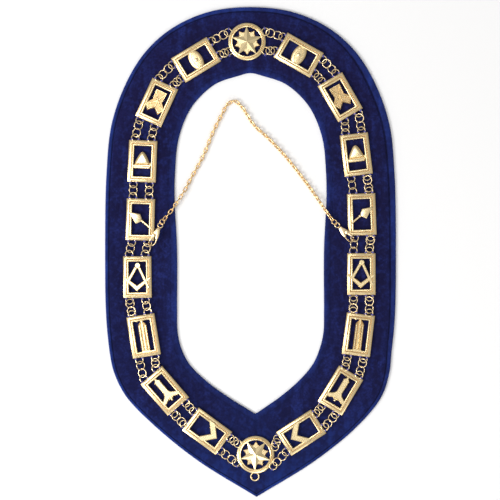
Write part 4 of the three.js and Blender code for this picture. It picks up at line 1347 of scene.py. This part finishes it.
# %% Lay the velvet down
velvet_piece = add_piece("velvet_cloth", cloth, velvet_finish, "collar", ["velvet_collar"],
                         sharp=180, merge=False)
print("velvet faces:", len(velvet_piece.data.polygons))

# %% [markdown]
# ## Sewing tacks
#
# The chain is held by small tacks of blue thread over the cast loops, close to the bars. Each
# is two turns of thread that come out of the velvet, go over the wire and return. A curve with
# a round bevel would do; the same bent bar as in the hook of the clasp keeps them plain meshes.

# %% A tack of thread
THREAD_RADIUS, THREAD_SHIFT = 0.34, 0.4
THREAD_SHADOW, THREAD_BLUE = (0.030, 0.028, 0.21), (0.12, 0.105, 0.58)
thread_finish, tree, shader, where = new_finish("blue_thread")
ply = noise_of(tree, where, scale=1500.0, detail=2.0, stretch=(1, 1, 3))
thread_color = ply.mix((*THREAD_SHADOW, 1), (*THREAD_BLUE, 1))
tree.links.new(thread_color.socket, shader.inputs["Base Color"])
shader.inputs["Roughness"].default_value = 0.7
shader.inputs["Sheen Weight"].default_value = 0.3
bumped(tree, shader, ply, strength=0.5, distance=0.0002)


def thread_tack(bm, place):
    """Two threads side by side over the wire. The place's X axis points out of the loop."""
    for shift in (-THREAD_SHIFT, THREAD_SHIFT):
        arch = [(-1.1, shift * 1.2, -0.6), (-0.95, shift, 1.7), (-0.65, shift, 3.2),
                (0, shift, 3.7), (0.65, shift, 3.1), (1.05, shift, 1.6), (1.3, shift * 1.2, -0.6)]
        before = set(bm.verts)
        bent_bar(bm, smooth_route(arch, 2), THREAD_RADIUS, sides=6)
        bmesh.ops.transform(bm, matrix=place, verts=new_since(bm, before))


print("thread of", 2 * THREAD_RADIUS, "mm")

# %% [markdown]
# A cast loop of a panel has a tack on each side of it, next to the bar. One of a medallion has
# a single tack, on the side that faces away from the medallion's middle line.

# %% Sew the loops down
BESIDE_LOOP, PAST_BAR = 3.35, 0.75
OUTWARD_TURN, INWARD_TURN, RIM_TACK_TURN = -18, 198, 75


def pointing(degrees):
    turn = math.radians(degrees)
    return Vector((math.cos(turn), math.sin(turn)))


tacks = bmesh.new()
tack_places = []
for side_name in SIDES:
    for station in STATIONS[side_name]:
        for end in (-1, 1):
            for side in (-1, 1):
                for out, turn_out in ((1, OUTWARD_TURN), (-1, INWARD_TURN)):
                    x = side * LOOP_SPREAD + out * side * BESIDE_LOOP
                    y = end * (HALF_LENGTH + PAST_BAR)
                    aim = turn_out * end if side > 0 else (180 - turn_out) * end
                    tack_places.append((station, x, y, aim))
for place in ("top", "bottom"):
    for side in (-1, 1):
        for up in (-1, 1):
            turn = MEDALLION_TURN * up if side > 0 else 180 - MEDALLION_TURN * up
            centre = (RIM_RADIUS + LOOP_REACH) * pointing(turn)
            aim = turn + RIM_TACK_TURN * side * up
            x, y = centre + LOOP_RADIUS * pointing(aim)
            tack_places.append((STATIONS[place], x, y, aim))
for station, x, y, aim in tack_places:
    lay = placing(station, VELVET_TOP) @ Matrix.Translation((x, y, 0))
    thread_tack(tacks, lay @ Matrix.Rotation(math.radians(aim), 4, "Z"))
add_piece("sewing_tacks", tacks, thread_finish, "collar", sharp=60)
print("sewing tacks:", len(tack_places))
